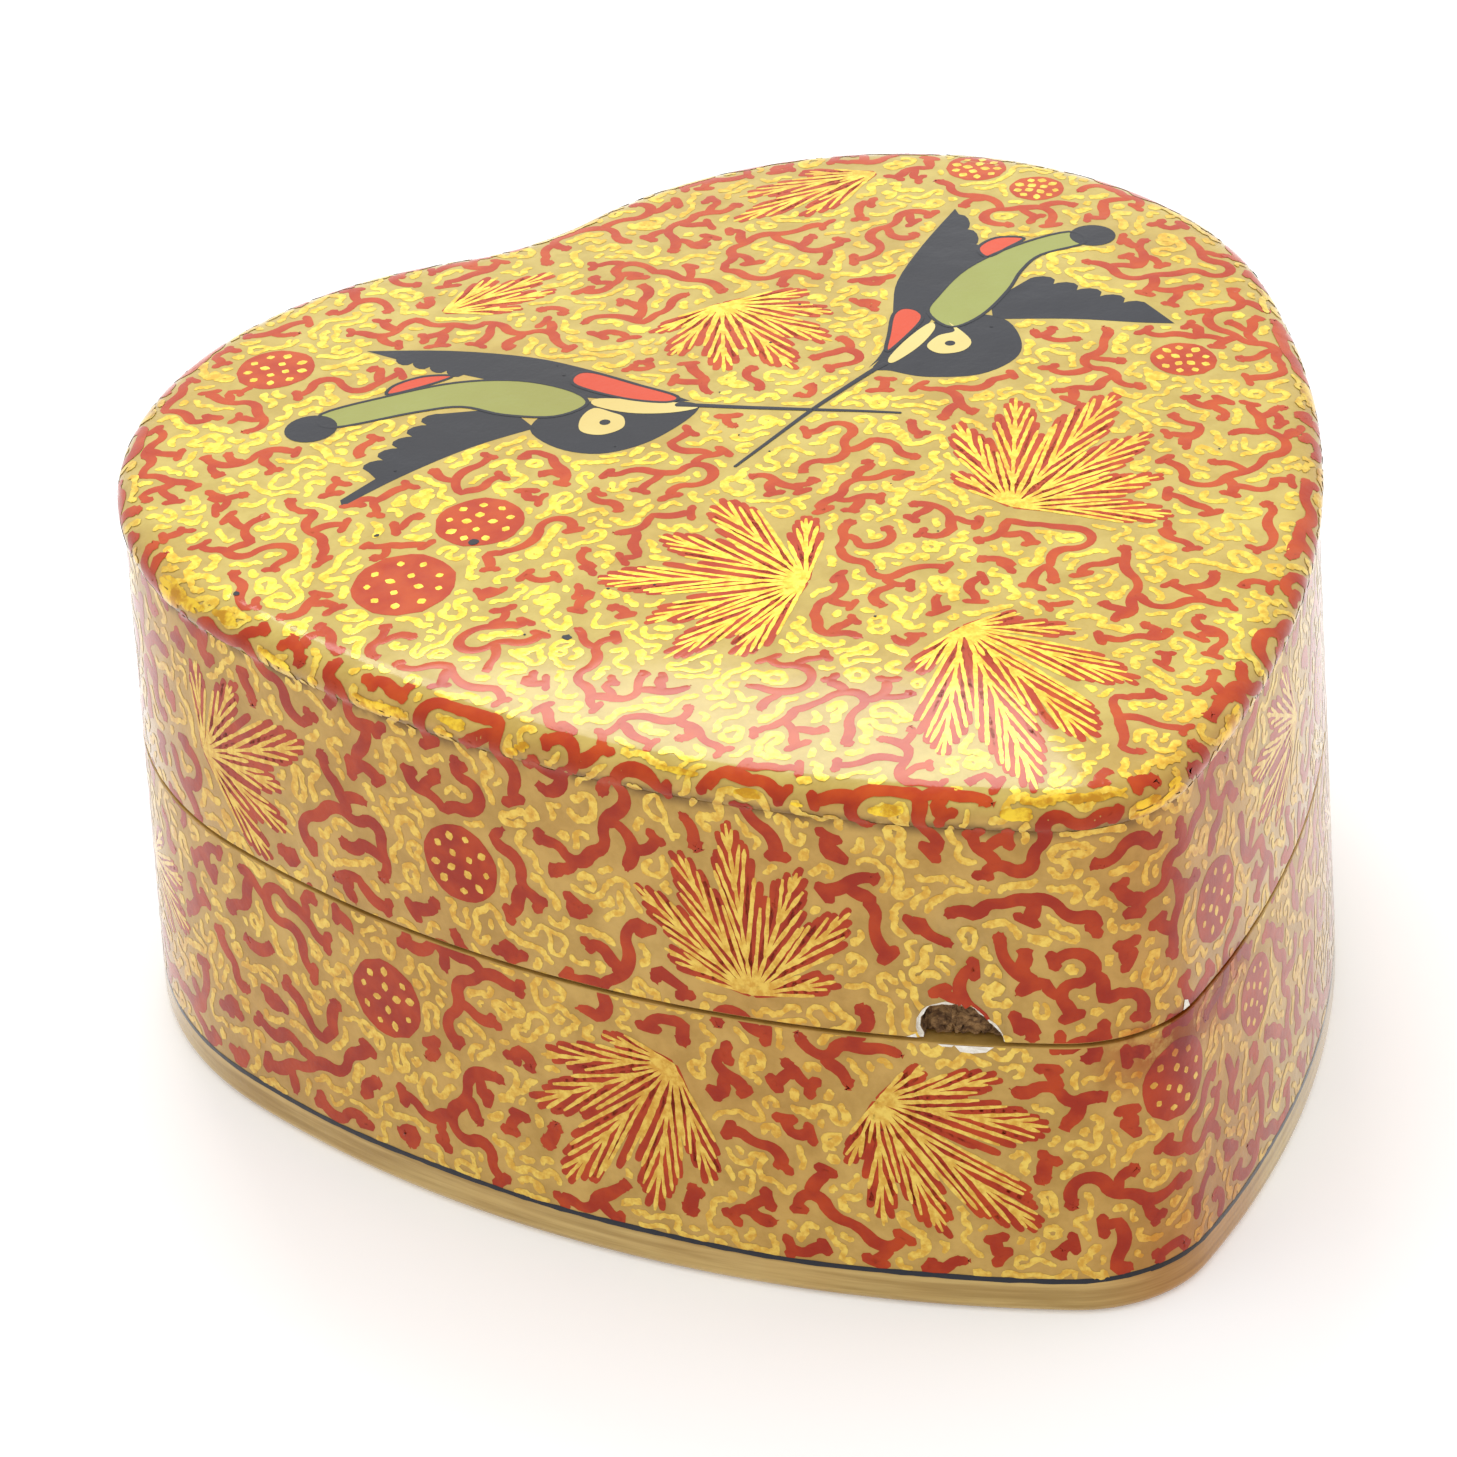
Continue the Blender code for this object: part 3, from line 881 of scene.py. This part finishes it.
def strokes_flat(strokes, height, lift):
    """Half tubes along the strokes, pressed to the height and lifted off the sheet, in millimetres."""
    curve = bpy.data.curves.new("strokes", "CURVE")
    curve.dimensions, curve.twist_mode = "3D", "Z_UP"
    curve.bevel_depth, curve.bevel_resolution = 1, 1
    for points, halves in strokes:
        first = beyond(points[0], points[1], halves[0])
        last = beyond(points[-1], points[-2], halves[-1])
        points = [first, *points, last]
        halves = [0.45 * halves[0], *halves, 0.45 * halves[-1]]
        spline = curve.splines.new("POLY")
        spline.points.add(len(points) - 1)
        spline.points.foreach_set("co", [value for x, y in points for value in (x, y, 0.0, 1.0)])
        spline.points.foreach_set("radius", halves)
    holder = put_in_scene("strokes", curve)
    mesh = bpy.data.meshes.new_from_object(holder.evaluated_get(bpy.context.evaluated_depsgraph_get()))
    shape = bmesh.new()
    shape.from_mesh(mesh)
    bpy.data.objects.remove(holder)
    bpy.data.curves.remove(curve)
    bpy.data.meshes.remove(mesh)
    bmesh.ops.delete(shape, geom=[v for v in shape.verts if v.co.z < -1e-4], context="VERTS")
    for vert in shape.verts:
        vert.co.z = lift + vert.co.z * height
    return shape


def slice_across(shape, place, way, drop_outer=False):
    everything = shape.verts[:] + shape.edges[:] + shape.faces[:]
    bmesh.ops.bisect_plane(shape, geom=everything, plane_co=place, plane_no=way, clear_outer=drop_outer)


def patches_flat(outlines, lift, cell=1.0):
    """Filled outlines, cut into cells so that they can follow a curved face."""
    shape = bmesh.new()
    for outline in outlines:
        ring = [shape.verts.new((x, y, lift)) for x, y in outline]
        edges = [shape.edges.new((ring[i - 1], ring[i])) for i in range(len(ring))]
        bmesh.ops.triangle_fill(shape, use_beauty=True, edges=edges, normal=(0, 0, 1))
    spots = np.array([v.co for v in shape.verts])
    for axis in (0, 1):
        for cut in np.arange(spots[:, axis].min() + cell / 2, spots[:, axis].max(), cell):
            place, way = [0, 0, 0], [0, 0, 0]
            place[axis], way[axis] = cut, 1
            slice_across(shape, place, way)
    bmesh.ops.reverse_faces(shape, faces=[f for f in shape.faces if f.normal.z < 0])
    return shape


def clip(shape, low, high):
    """Keeps what lies between two heights of the sheet."""
    for cut, sense in ((low, -1), (high, 1)):
        slice_across(shape, (0, cut, 0), (0, sense, 0), True)
    return shape


def paint_piece(name, shapes, wrap, body, material):
    """Joins flat shapes into one piece, keeps their flat places as its UV, and wraps it onto the box."""
    whole = bmesh.new()
    for shape in shapes:
        part = bpy.data.meshes.new("part")
        shape.to_mesh(part)
        shape.free()
        whole.from_mesh(part)
        bpy.data.meshes.remove(part)
    mesh = bpy.data.meshes.new(name)
    whole.to_mesh(mesh)
    whole.free()
    flat = np.empty(len(mesh.vertices) * 3)
    mesh.vertices.foreach_get("co", flat)
    flat = flat.reshape(-1, 3)
    corners = np.empty(len(mesh.loops), int)
    mesh.loops.foreach_get("vertex_index", corners)
    low, high = flat[:, :2].min(0), flat[:, :2].max(0)
    sheet = (flat[corners, :2] - low) / (high - low)
    mesh.uv_layers.new(name="OFBake").data.foreach_set("uv", sheet.ravel())
    mesh.vertices.foreach_set("co", (wrap(flat) * MM).ravel())
    mesh.update()
    mesh.shade_smooth()
    mesh.materials.append(material)
    piece = put_in_scene(name, mesh)
    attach(piece, body)
    print(f"{name}: {len(mesh.polygons)} faces")
    return piece


# %% [markdown]
# ## Materials
# One node group, "aged varnish and foot shade", gives every painted material the same age: it deepens
# the colour in soft cloudy patches and browns it where the varnish has pooled near the seam. It also
# paints shade near the tip, darker towards the foot. Each paint is lighter and yellower above the
# shoulder, a painted light from above. Each material sets its own gloss. The golds are part metal with
# grains in them, and every paint lies under the clear coat.


# %% Colours and node helpers
def colour(code):
    """Linear colour of a #rrggbb code."""
    parts = [int(code[i : i + 2], 16) / 255 for i in (1, 3, 5)]
    return [c / 12.92 if c <= 0.04045 else ((c + 0.055) / 1.055) ** 2.4 for c in parts] + [1.0]


def node(tree, kind, **settings):
    made = tree.nodes.new(kind)
    for name, value in settings.items():
        if name.startswith("_"):
            setattr(made, name[1:], value)
        else:
            made.inputs[name.replace("_", " ")].default_value = value
    return made


def noise(tree, place, scale, detail=3.0, roughness=0.5, stretch=(1, 1, 1)):
    """A noise over the Object coordinates. The scale is in features per metre."""
    sized = node(tree, "ShaderNodeMapping", Scale=stretch)
    tree.links.new(place, sized.inputs["Vector"])
    made = node(tree, "ShaderNodeTexNoise", Scale=scale, Detail=detail, Roughness=roughness)
    tree.links.new(sized.outputs[0], made.inputs["Vector"])
    return made.outputs["Fac"]


def steps(tree, value, low, high, to_low=0.0, to_high=1.0):
    """Smoothly turns a value between low and high into one between the other two."""
    made = node(tree, "ShaderNodeMapRange", _interpolation_type="SMOOTHSTEP")
    for socket, number in zip(made.inputs[1:5], (low, high, to_low, to_high)):
        socket.default_value = number
    tree.links.new(value, made.inputs[0])
    return made.outputs[0]


def mixed(tree, share, first, second, way="MIX"):
    made = node(tree, "ShaderNodeMix", _data_type="RGBA", _blend_type=way)
    for socket, value in ((made.inputs[0], share), (made.inputs[6], first), (made.inputs[7], second)):
        if isinstance(value, bpy.types.NodeSocket):
            tree.links.new(value, socket)
        else:
            socket.default_value = value
    return made.outputs[2]


def times(tree, a, b, kind="MULTIPLY"):
    made = node(tree, "ShaderNodeMath", _operation=kind)
    for socket, value in zip(made.inputs, (a, b)):
        if isinstance(value, bpy.types.NodeSocket):
            tree.links.new(value, socket)
        else:
            socket.default_value = value
    return made.outputs[0]


def place_and_height(tree):
    """The Object coordinates, and the height among them, in metres."""
    place = node(tree, "ShaderNodeTexCoord").outputs["Object"]
    apart = node(tree, "ShaderNodeSeparateXYZ")
    tree.links.new(place, apart.inputs[0])
    return place, apart.outputs["Z"]


def new_material(name, **settings):
    """A Principled material with these settings, its node tree and its shader."""
    material = bpy.data.materials.new(name)
    material.use_nodes = True
    shader = material.node_tree.nodes["Principled BSDF"]
    for setting, value in settings.items():
        shader.inputs[setting.replace("_", " ")].default_value = value
    return material, material.node_tree, shader


# %% The shared varnish, with its painted shade at the foot
varnish_and_shade = bpy.data.node_groups.new("aged_varnish_and_foot_shade", "ShaderNodeTree")
for direction, kind, name in (
    ("INPUT", "NodeSocketColor", "Paint"),
    ("OUTPUT", "NodeSocketColor", "Colour"),
    ("OUTPUT", "NodeSocketFloat", "Height"),
):
    varnish_and_shade.interface.new_socket(name, in_out=direction, socket_type=kind)
inlet, outlet = node(varnish_and_shade, "NodeGroupInput"), node(varnish_and_shade, "NodeGroupOutput")
place = node(varnish_and_shade, "ShaderNodeTexCoord").outputs["Object"]
apart = node(varnish_and_shade, "ShaderNodeSeparateXYZ")
varnish_and_shade.links.new(place, apart.inputs[0])
clouds = steps(varnish_and_shade, noise(varnish_and_shade, place, 45, 4, 0.6), 0.35, 0.7)
cloudy = mixed(varnish_and_shade, times(varnish_and_shade, clouds, 0.28), inlet.outputs[0], colour("#d9a53c"), "MULTIPLY")
# The amber stain, in metres: a band under the seam, on the right of the tip.
near_seam = times(
    varnish_and_shade,
    steps(varnish_and_shade, apart.outputs["Z"], 0.0175, 0.0215),
    steps(varnish_and_shade, apart.outputs["Z"], 0.0236, 0.0245, 1.0, 0.0),
)
near_tip = times(
    varnish_and_shade,
    steps(varnish_and_shade, apart.outputs["Y"], -0.043, -0.038, 1.0, 0.0),
    steps(varnish_and_shade, apart.outputs["X"], -0.006, 0.002),
)
ragged = steps(varnish_and_shade, noise(varnish_and_shade, place, 330, 5, 0.65), 0.36, 0.52)
amber = times(varnish_and_shade, times(varnish_and_shade, near_seam, near_tip), ragged)
# Painted shade: near the tip the wall is darkened, more towards the foot, where less light reaches.
foot_shade = times(varnish_and_shade, near_tip, steps(varnish_and_shade, apart.outputs["Z"], 0.004, 0.012, 0.5, 0.22))
foot_shaded = mixed(varnish_and_shade, foot_shade, cloudy, colour("#e09a3e"), "MULTIPLY")
stained = mixed(varnish_and_shade, times(varnish_and_shade, amber, 0.95), foot_shaded, colour("#cf7f22"), "MULTIPLY")
varnish_and_shade.links.new(stained, outlet.inputs["Colour"])
broad = noise(varnish_and_shade, place, 95, 2, 0.5)
fine = noise(varnish_and_shade, place, 420, 3, 0.6)
varnish_and_shade.links.new(times(varnish_and_shade, broad, times(varnish_and_shade, fine, 0.12), "ADD"), outlet.inputs["Height"])


def painted(name, paint, roughness=0.4, metallic=0.0, coat=1.0):
    """A material whose colour and bump pass through the shared varnish, which also paints shade near the
    foot of the tip. The coat bends light less than fresh varnish does, which keeps the steep sides from
    turning pale."""
    material, tree, shader = new_material(
        name, Roughness=roughness, Metallic=metallic, Specular_IOR_Level=0.1,
        Coat_Weight=coat, Coat_Roughness=0.09, Coat_IOR=1.26,
    )
    shared = node(tree, "ShaderNodeGroup", _node_tree=varnish_and_shade)
    if callable(paint):
        tree.links.new(paint(tree), shared.inputs["Paint"])
    else:
        shared.inputs["Paint"].default_value = paint
    tree.links.new(shared.outputs["Colour"], shader.inputs["Base Color"])
    wave = node(tree, "ShaderNodeBump", Strength=0.85, Distance=0.0012)
    tree.links.new(shared.outputs["Height"], wave.inputs["Height"])
    tree.links.new(wave.outputs[0], shader.inputs["Normal"])
    return material


# %% The paints
# Between these heights, in metres, the darker side colours turn into the lighter top colours, a painted
# light.
SHOULDER_HEIGHTS = (0.0425, 0.0445)
STRIP_HEIGHTS = (0.0027, 0.0030)


def shaded_side_and_lit_top(tree, share, height, side, top):
    """Mixes two colours by the share, from one pair on the side and another above the shoulder. The pair
    above the shoulder is lighter and yellower: painted light, for the stronger light falling on the top.
    """
    low, high = (mixed(tree, share, colour(a), colour(b)) for a, b in (side, top))
    return mixed(tree, steps(tree, height, *SHOULDER_HEIGHTS), low, high)


def ground_paint(tree):
    """Khaki with faint mottling, lighter and yellower above the shoulder as painted light, streaked below
    the black line, and with a dark brown band under the rolled edge that is painted shade mixed with
    grime.
    """
    place, height = place_and_height(tree)
    mottle = steps(tree, noise(tree, place, 260, 5, 0.65), 0.3, 0.7)
    # The top's pair is lighter and yellower than the side's: painted light from above.
    both = shaded_side_and_lit_top(tree, mottle, height, ("#a88541", "#bf9b54"), ("#c2aa54", "#d5c068"))
    streaks = noise(tree, place, 60, 4, 0.6, (1, 1, 26))
    strip = mixed(tree, steps(tree, streaks, 0.3, 0.7), colour("#9c7f48"), colour("#c0a468"))
    grimy = mixed(tree, steps(tree, height, *STRIP_HEIGHTS), strip, both)
    # Painted shade mixed with grime: a dark brown band just under the rolled edge, where the overhang
    # shades the wall.
    above, below = steps(tree, height, 0.0405, 0.0416), steps(tree, height, 0.0418, 0.0426, 1.0, 0.0)
    rim = times(tree, above, below)
    bead_shade_and_grime = times(tree, rim, steps(tree, noise(tree, place, 300, 4, 0.6), 0.35, 0.6))
    return mixed(tree, times(tree, bead_shade_and_grime, 0.75), grimy, colour("#5a3a14"))


def red_paint(tree):
    place, height = place_and_height(tree)
    thick = steps(tree, noise(tree, place, 420, 3, 0.5), 0.3, 0.7)
    # The top's pair is lighter than the side's: painted light from above.
    return shaded_side_and_lit_top(tree, thick, height, ("#ae3a06", "#962200"), ("#d05208", "#c03a02"))


def gold_paint(tree):
    place, height = place_and_height(tree)
    grains = steps(tree, noise(tree, place, 1500, 3, 0.6), 0.35, 0.65)
    # The top's pair is lighter and yellower than the side's: painted light from above.
    return shaded_side_and_lit_top(tree, grains, height, ("#cc9e3c", "#e2c45c"), ("#e6bc36", "#f8e25a"))


def rubbed_paint(tree):
    place = node(tree, "ShaderNodeTexCoord").outputs["Object"]
    worn = steps(tree, noise(tree, place, 700, 4, 0.6), 0.38, 0.6)
    return mixed(tree, worn, colour("#c48f1c"), colour("#f2d03c"))


GROUND = painted("khaki ground", ground_paint)
RED = painted("vermilion", red_paint)
GOLD = painted("shell gold", gold_paint, roughness=0.45, metallic=0.5)
RUBBED = painted("rubbed gold", rubbed_paint, metallic=0.85)
BLACK = painted("blue black", colour("#23262f"))
GREEN = painted("olive green", colour("#a3aa58"))
CREAM = painted("cream", colour("#ead98a"))
ORANGE = painted("orange red", colour("#e2512c"))
LACQUER = painted("black lacquer", colour("#14110f"), roughness=0.45, coat=0.3)

# %% Khaki outside and black lacquer inside
for piece in (base_shell, lid_shell, crown):
    piece.data.materials.append(GROUND)
    piece.data.materials.append(LACQUER)
    for face in piece.data.polygons:
        spot = face.center / MM
        inset = np.hypot(*(LINE - [spot.x, spot.y]).T).min()
        below_crown = piece != crown or face.normal.z < 0
        if inset > WALL_IN - 0.6 and below_crown:
            face.material_index = 1
for piece in (collar, floor_skin):
    piece.data.materials.append(LACQUER)

# %% Wrap the side's painting, cut at the seam
# A stroke's pair is how thick it is at its ridge and how far its foot lies off the skin, in millimetres.
RED_STROKE, GOLD_STROKE, DISC_LIFT = (0.008, 0.01), (0.012, 0.02), 0.014
LINE_STROKE, FOOT_STROKE = (0.03, 0.03), (0.03, 0.022)
BANDS = dict(base=(SIDE_FOOT - 0.3, SEAM_LOW - 0.1), lid=(SEAM_HIGH + 0.1, SIDE_TOP + 0.4))
for body, (low, high) in BANDS.items():
    reds = [
        clip(strokes_flat(side_sheet.red + side_sheet.leaf_red, *RED_STROKE), low, high),
        clip(patches_flat(side_sheet.discs, DISC_LIFT, 0.4), low, high),
    ]
    paint_piece(f"{body}_side_red", reds, on_side, body, RED)
    golds = [clip(strokes_flat(side_sheet.thread + side_sheet.leaf_gold, *GOLD_STROKE), low, high)]
    paint_piece(f"{body}_side_gold", golds, on_side, body, GOLD)

# %% Wrap the top's painting
top_reds = [
    strokes_flat(top_sheet.red + top_sheet.leaf_red, *RED_STROKE),
    patches_flat(top_sheet.discs, DISC_LIFT),
]
paint_piece("top_red", top_reds, on_top, "lid", RED)
top_golds = [strokes_flat(top_sheet.thread + top_sheet.leaf_gold, *GOLD_STROKE)]
paint_piece("top_gold", top_golds, on_top, "lid", GOLD)

# %% Wrap the birds, each paint lying on the one before
DARK_LIFT, GREEN_LIFT, ORANGE_LIFT, CREAM_LIFT, PUPIL_LIFT = 0.012, 0.018, 0.024, 0.028, 0.034
OUTLINE_HALF, BEAK_TIP_HALF = 0.15, 0.14
black, green, orange, cream, lines = [], [], [], [], []
for bird in BIRDS:
    black += [patches_flat([part], DARK_LIFT) for part in bird["dark"]]
    black.append(patches_flat([ring_of(*bird["tail"])], ORANGE_LIFT))
    black.append(patches_flat([ring_of(*bird["pupil"], 12)], PUPIL_LIFT))
    green += [patches_flat([part], GREEN_LIFT) for part in bird["green"]]
    orange += [patches_flat([part], ORANGE_LIFT) for part in bird["orange"]]
    cream += [patches_flat([part], CREAM_LIFT) for part in bird["cream"]]
    beak, half = bird["beak"]
    beak = smooth(beak, 5, False)
    lines.append((beak, list(np.linspace(half, BEAK_TIP_HALF, len(beak)))))
    for part in bird["green"] + bird["orange"]:
        lines.append(([*part, part[0]], [OUTLINE_HALF] * (len(part) + 1)))
black.append(strokes_flat(lines, *LINE_STROKE))
paint_piece("birds_black", black, on_top, "lid", BLACK)
paint_piece("birds_green", green, on_top, "lid", GREEN)
paint_piece("birds_orange", orange, on_top, "lid", ORANGE)
paint_piece("birds_cream", cream, on_top, "lid", CREAM)

# %% The black line round the foot
wobble = random.Random(3)
places = np.arange(0, ROUND + 0.8, 0.8)
line_heights = [FOOT_LINE + 0.08 * math.sin(s / 9) + 0.05 * math.sin(s / 3.1 + 1) for s in places]
foot_line = (list(zip(places, line_heights)), [0.22 * wobble.uniform(0.8, 1.15) for _ in places])
paint_piece("foot_line", [strokes_flat([foot_line], *FOOT_STROKE)], on_side, "base", BLACK)

# %% [markdown]
# ## Age and wear
# The lid has lost a chip at the seam, down through the white ground to the brown pulp. Small white
# flecks sit below it and near the tip, and a few dark specks are caught in the varnish of the crown.
# The rolled edge is rubbed with gold wherever no coral crosses it.

# %% Gold rubbed along the rolled edge
rubbing = random.Random(5)
rubbed = []
for _ in range(900):
    s, v = rubbing.uniform(0, ROUND), rubbing.triangular(42.0, 44.6, 42.9)
    length, half, points = rubbing.uniform(1.2, 5.0), rubbing.uniform(0.18, 0.4), []
    while len(points) * 0.4 < length and side_sheet.paint.clear(s, min(v, SIDE_TOP - 0.01)) > half + 0.12:
        points.append((s, v))
        s, v = s + 0.4, v + rubbing.uniform(-0.1, 0.1)
    if len(points) > 2:
        rubbed.append((points, rough(len(points), half, rubbing)))
paint_piece("rim_gold", [strokes_flat(rubbed, *LINE_STROKE)], on_side, "lid", RUBBED)


# %% What a broken face is made of
def bare(name, paint, roughness, grain, depth):
    """A dull broken face with a fibrous bump."""
    material, tree, shader = new_material(name, Roughness=roughness)
    place = node(tree, "ShaderNodeTexCoord").outputs["Object"]
    fibres = noise(tree, place, grain, 5, 0.7, (1, 1, 2.6))
    tree.links.new(mixed(tree, steps(tree, fibres, 0.35, 0.65), *paint), shader.inputs["Base Color"])
    bump = node(tree, "ShaderNodeBump", Strength=0.9, Distance=depth)
    tree.links.new(fibres, bump.inputs["Height"])
    tree.links.new(bump.outputs[0], shader.inputs["Normal"])
    return material


PULP = bare("paper pulp", (colour("#5b3d22"), colour("#a07a4c")), 0.9, 900, 0.0006)
GESSO = bare("white ground", (colour("#d9d0c0"), colour("#f1ece2")), 0.8, 1200, 0.0002)

# %% The chip, cut out of the lid wall
CHIP = [
    (-16.0, 23.1), (-16.1, 25.2), (-15.4, 26.2), (-14, 26.5), (-12.6, 26.4), (-11.3, 25.5),
    (-10.4, 24.3), (-9.9, 23.1),
]
chipping = random.Random(11)


def broken_edge(outline, grow, jitter):
    """The outline grown away from its middle and made ragged."""
    middle = np.mean(outline, axis=0)
    found = []
    for a, b in zip(outline, outline[1:] + outline[:1]):
        for share in (0.0, 0.33, 0.67):
            spot = np.array(a) * (1 - share) + np.array(b) * share
            away = (spot - middle) / np.linalg.norm(spot - middle)
            found.append(tuple(spot + away * (grow + chipping.uniform(-jitter, jitter))))
    return found


def cut_chip(shell, outline, depth, roughness, material):
    """Cuts a slab with a rough back out of the shell. The cut faces take the slab's material."""
    slab = patches_flat([outline], 0.6, 0.45)
    grown = bmesh.ops.extrude_face_region(slab, geom=slab.faces[:])["geom"]
    for vert in (g for g in grown if isinstance(g, bmesh.types.BMVert)):
        vert.co.z = -depth + chipping.uniform(-roughness, roughness)
    bmesh.ops.recalc_face_normals(slab, faces=slab.faces)
    mesh = bpy.data.meshes.new("cutter")
    slab.to_mesh(mesh)
    slab.free()
    flat = np.array([v.co for v in mesh.vertices])
    mesh.vertices.foreach_set("co", (on_side(flat) * MM).ravel())
    mesh.update()
    mesh.materials.append(material)
    cutter = put_in_scene("cutter", mesh)
    cut = shell.modifiers.new("chip", "BOOLEAN")
    cut.object, cut.operation, cut.solver, cut.material_mode = cutter, "DIFFERENCE", "EXACT", "TRANSFER"
    graph = bpy.context.evaluated_depsgraph_get()
    broken = bpy.data.meshes.new_from_object(shell.evaluated_get(graph))
    shell.modifiers.remove(cut)
    shell.data = broken
    bpy.data.objects.remove(cutter)


white_edge = broken_edge(CHIP, 0.28, 0.14)
cut_chip(lid_shell, white_edge, 0.22, 0.05, GESSO)
cut_chip(lid_shell, broken_edge(CHIP, 0.0, 0.12), 1.15, 0.3, PULP)


# %% The paint that went with the chip
def lose_paint(piece, outline):
    """Deletes the painted faces whose middles lie over the chip."""
    mesh = piece.data
    shape = bmesh.new()
    shape.from_mesh(mesh)
    ring = on_side(np.array([(s, v, 0.0) for s, v in outline])) * MM
    low, high = ring.min(0) - 0.0005, ring.max(0) + 0.0005
    across = (ring[-1] - ring[0])[:2]
    across /= np.linalg.norm(across)
    flat_ring = np.column_stack([ring[:, :2] @ across, ring[:, 2]])
    gone = []
    for face in shape.faces:
        spot = np.array(face.calc_center_median())
        if (spot >= low).all() and (spot <= high).all():
            if signed_distance(flat_ring, [spot[:2] @ across], [spot[2]])[0, 0] < 0:
                gone.append(face)
    bmesh.ops.delete(shape, geom=gone, context="FACES")
    shape.to_mesh(mesh)
    shape.free()
    print(f"{piece.name} lost {len(gone)} faces at the chip")


for name in ("lid_side_red", "lid_side_gold"):
    lose_paint(bpy.data.objects[name], white_edge)

# %% Flecks and specks
FLECK_LIFT, SPECK_LIFT = 0.05, 0.04
FLECKS = [
    [(-13.7, 23.12), (-13.3, 22.6), (-12.4, 22.5), (-11.4, 22.65), (-10.8, 23.12)],
    [(-14.9, 23.14), (-14.6, 22.95), (-13.9, 22.95), (-13.7, 23.14)],
]
LID_FLECKS = [
    [(4.1, 23.6), (4.9, 23.6), (4.7, 24.2), (4.3, 24.4)],
    [(-17.2, 23.58), (-16.4, 23.58), (-16.5, 23.9)],
]
paint_piece("white_flecks", [patches_flat(FLECKS, FLECK_LIFT, 0.5)], on_side, "base", GESSO)
paint_piece("lid_flecks", [patches_flat(LID_FLECKS, FLECK_LIFT, 0.5)], on_side, "lid", GESSO)
dust = [((-25, -9.3), 0.36), ((-42, 10.8), 0.25), ((-24.9, 5.8), 0.36), ((-30.3, 11), 0.2)]
for _ in range(22):
    way, far = chipping.uniform(0, 2 * math.pi), chipping.uniform(4, 33)
    dust.append(((far * math.cos(way), far * math.sin(way)), chipping.uniform(0.06, 0.13)))
specks = [ring_of(spot, size, 10, 0.25, chipping) for spot, size in dust]
paint_piece("dark_specks", [patches_flat(specks, SPECK_LIFT, 0.5)], on_top, "lid", BLACK)

# %% [markdown]
# ## The picture
# A pale floor that glows a little, a soft even light from all round, and one square soft lamp high up
# behind the box, which the varnish shows as a pale sheen on the crown. The camera looks at the tip from
# the front left.

# %% Floor and light
bpy.ops.mesh.primitive_plane_add(size=6)
floor = bpy.context.object
floor.name = "white_table"
white, _, _ = new_material(
    "white table", Base_Color=(0.88, 0.88, 0.88, 1), Emission_Color=(1, 1, 1, 1), Emission_Strength=0.22,
    Roughness=0.8,
)
floor.data.materials.append(white)

world = bpy.data.worlds.new("studio")
world.use_nodes = True
world.node_tree.nodes["Background"].inputs["Color"].default_value = (1, 1, 1, 1)
world.node_tree.nodes["Background"].inputs["Strength"].default_value = 1.05
bpy.context.scene.world = world


def softbox(name, place, target, size, power):
    lamp = bpy.data.lights.new(name, "AREA")
    lamp.shape, lamp.size, lamp.size_y, lamp.energy = "RECTANGLE", size[0], size[1], power
    holder = put_in_scene(name, lamp)
    holder.location = place
    holder.rotation_euler = (Vector(target) - Vector(place)).to_track_quat("-Z", "Y").to_euler()


softbox("high softbox", (0.14, 0.43, 0.6), (0, 0, 0.04), (0.24, 0.24), 1.35)

# %% Camera
DISTANCE = 1.0114
AZIMUTH, ELEVATION, ROLL = math.radians(-25.877), math.radians(31.629), math.radians(-3.653)
back = Vector((
    math.sin(AZIMUTH) * math.cos(ELEVATION), -math.cos(AZIMUTH) * math.cos(ELEVATION), math.sin(ELEVATION)
))
level = Vector((math.cos(AZIMUTH), math.sin(AZIMUTH), 0))
upright = back.cross(level)
right = math.cos(ROLL) * level + math.sin(ROLL) * upright
up = -math.sin(ROLL) * level + math.cos(ROLL) * upright
aim = Vector((0, 0, 0.023)) - right * 0.007217 + up * 0.000953
lens = bpy.data.cameras.new("camera")
lens.lens, lens.sensor_width, lens.clip_start, lens.clip_end = 334.7, 36, 0.1, 20
camera = put_in_scene("camera", lens)
turn = Matrix((right, up, back)).transposed().to_4x4()
camera.matrix_world = Matrix.Translation(aim + back * DISTANCE) @ turn
bpy.context.scene.camera = camera
bpy.context.scene.view_settings.view_transform = "Standard"
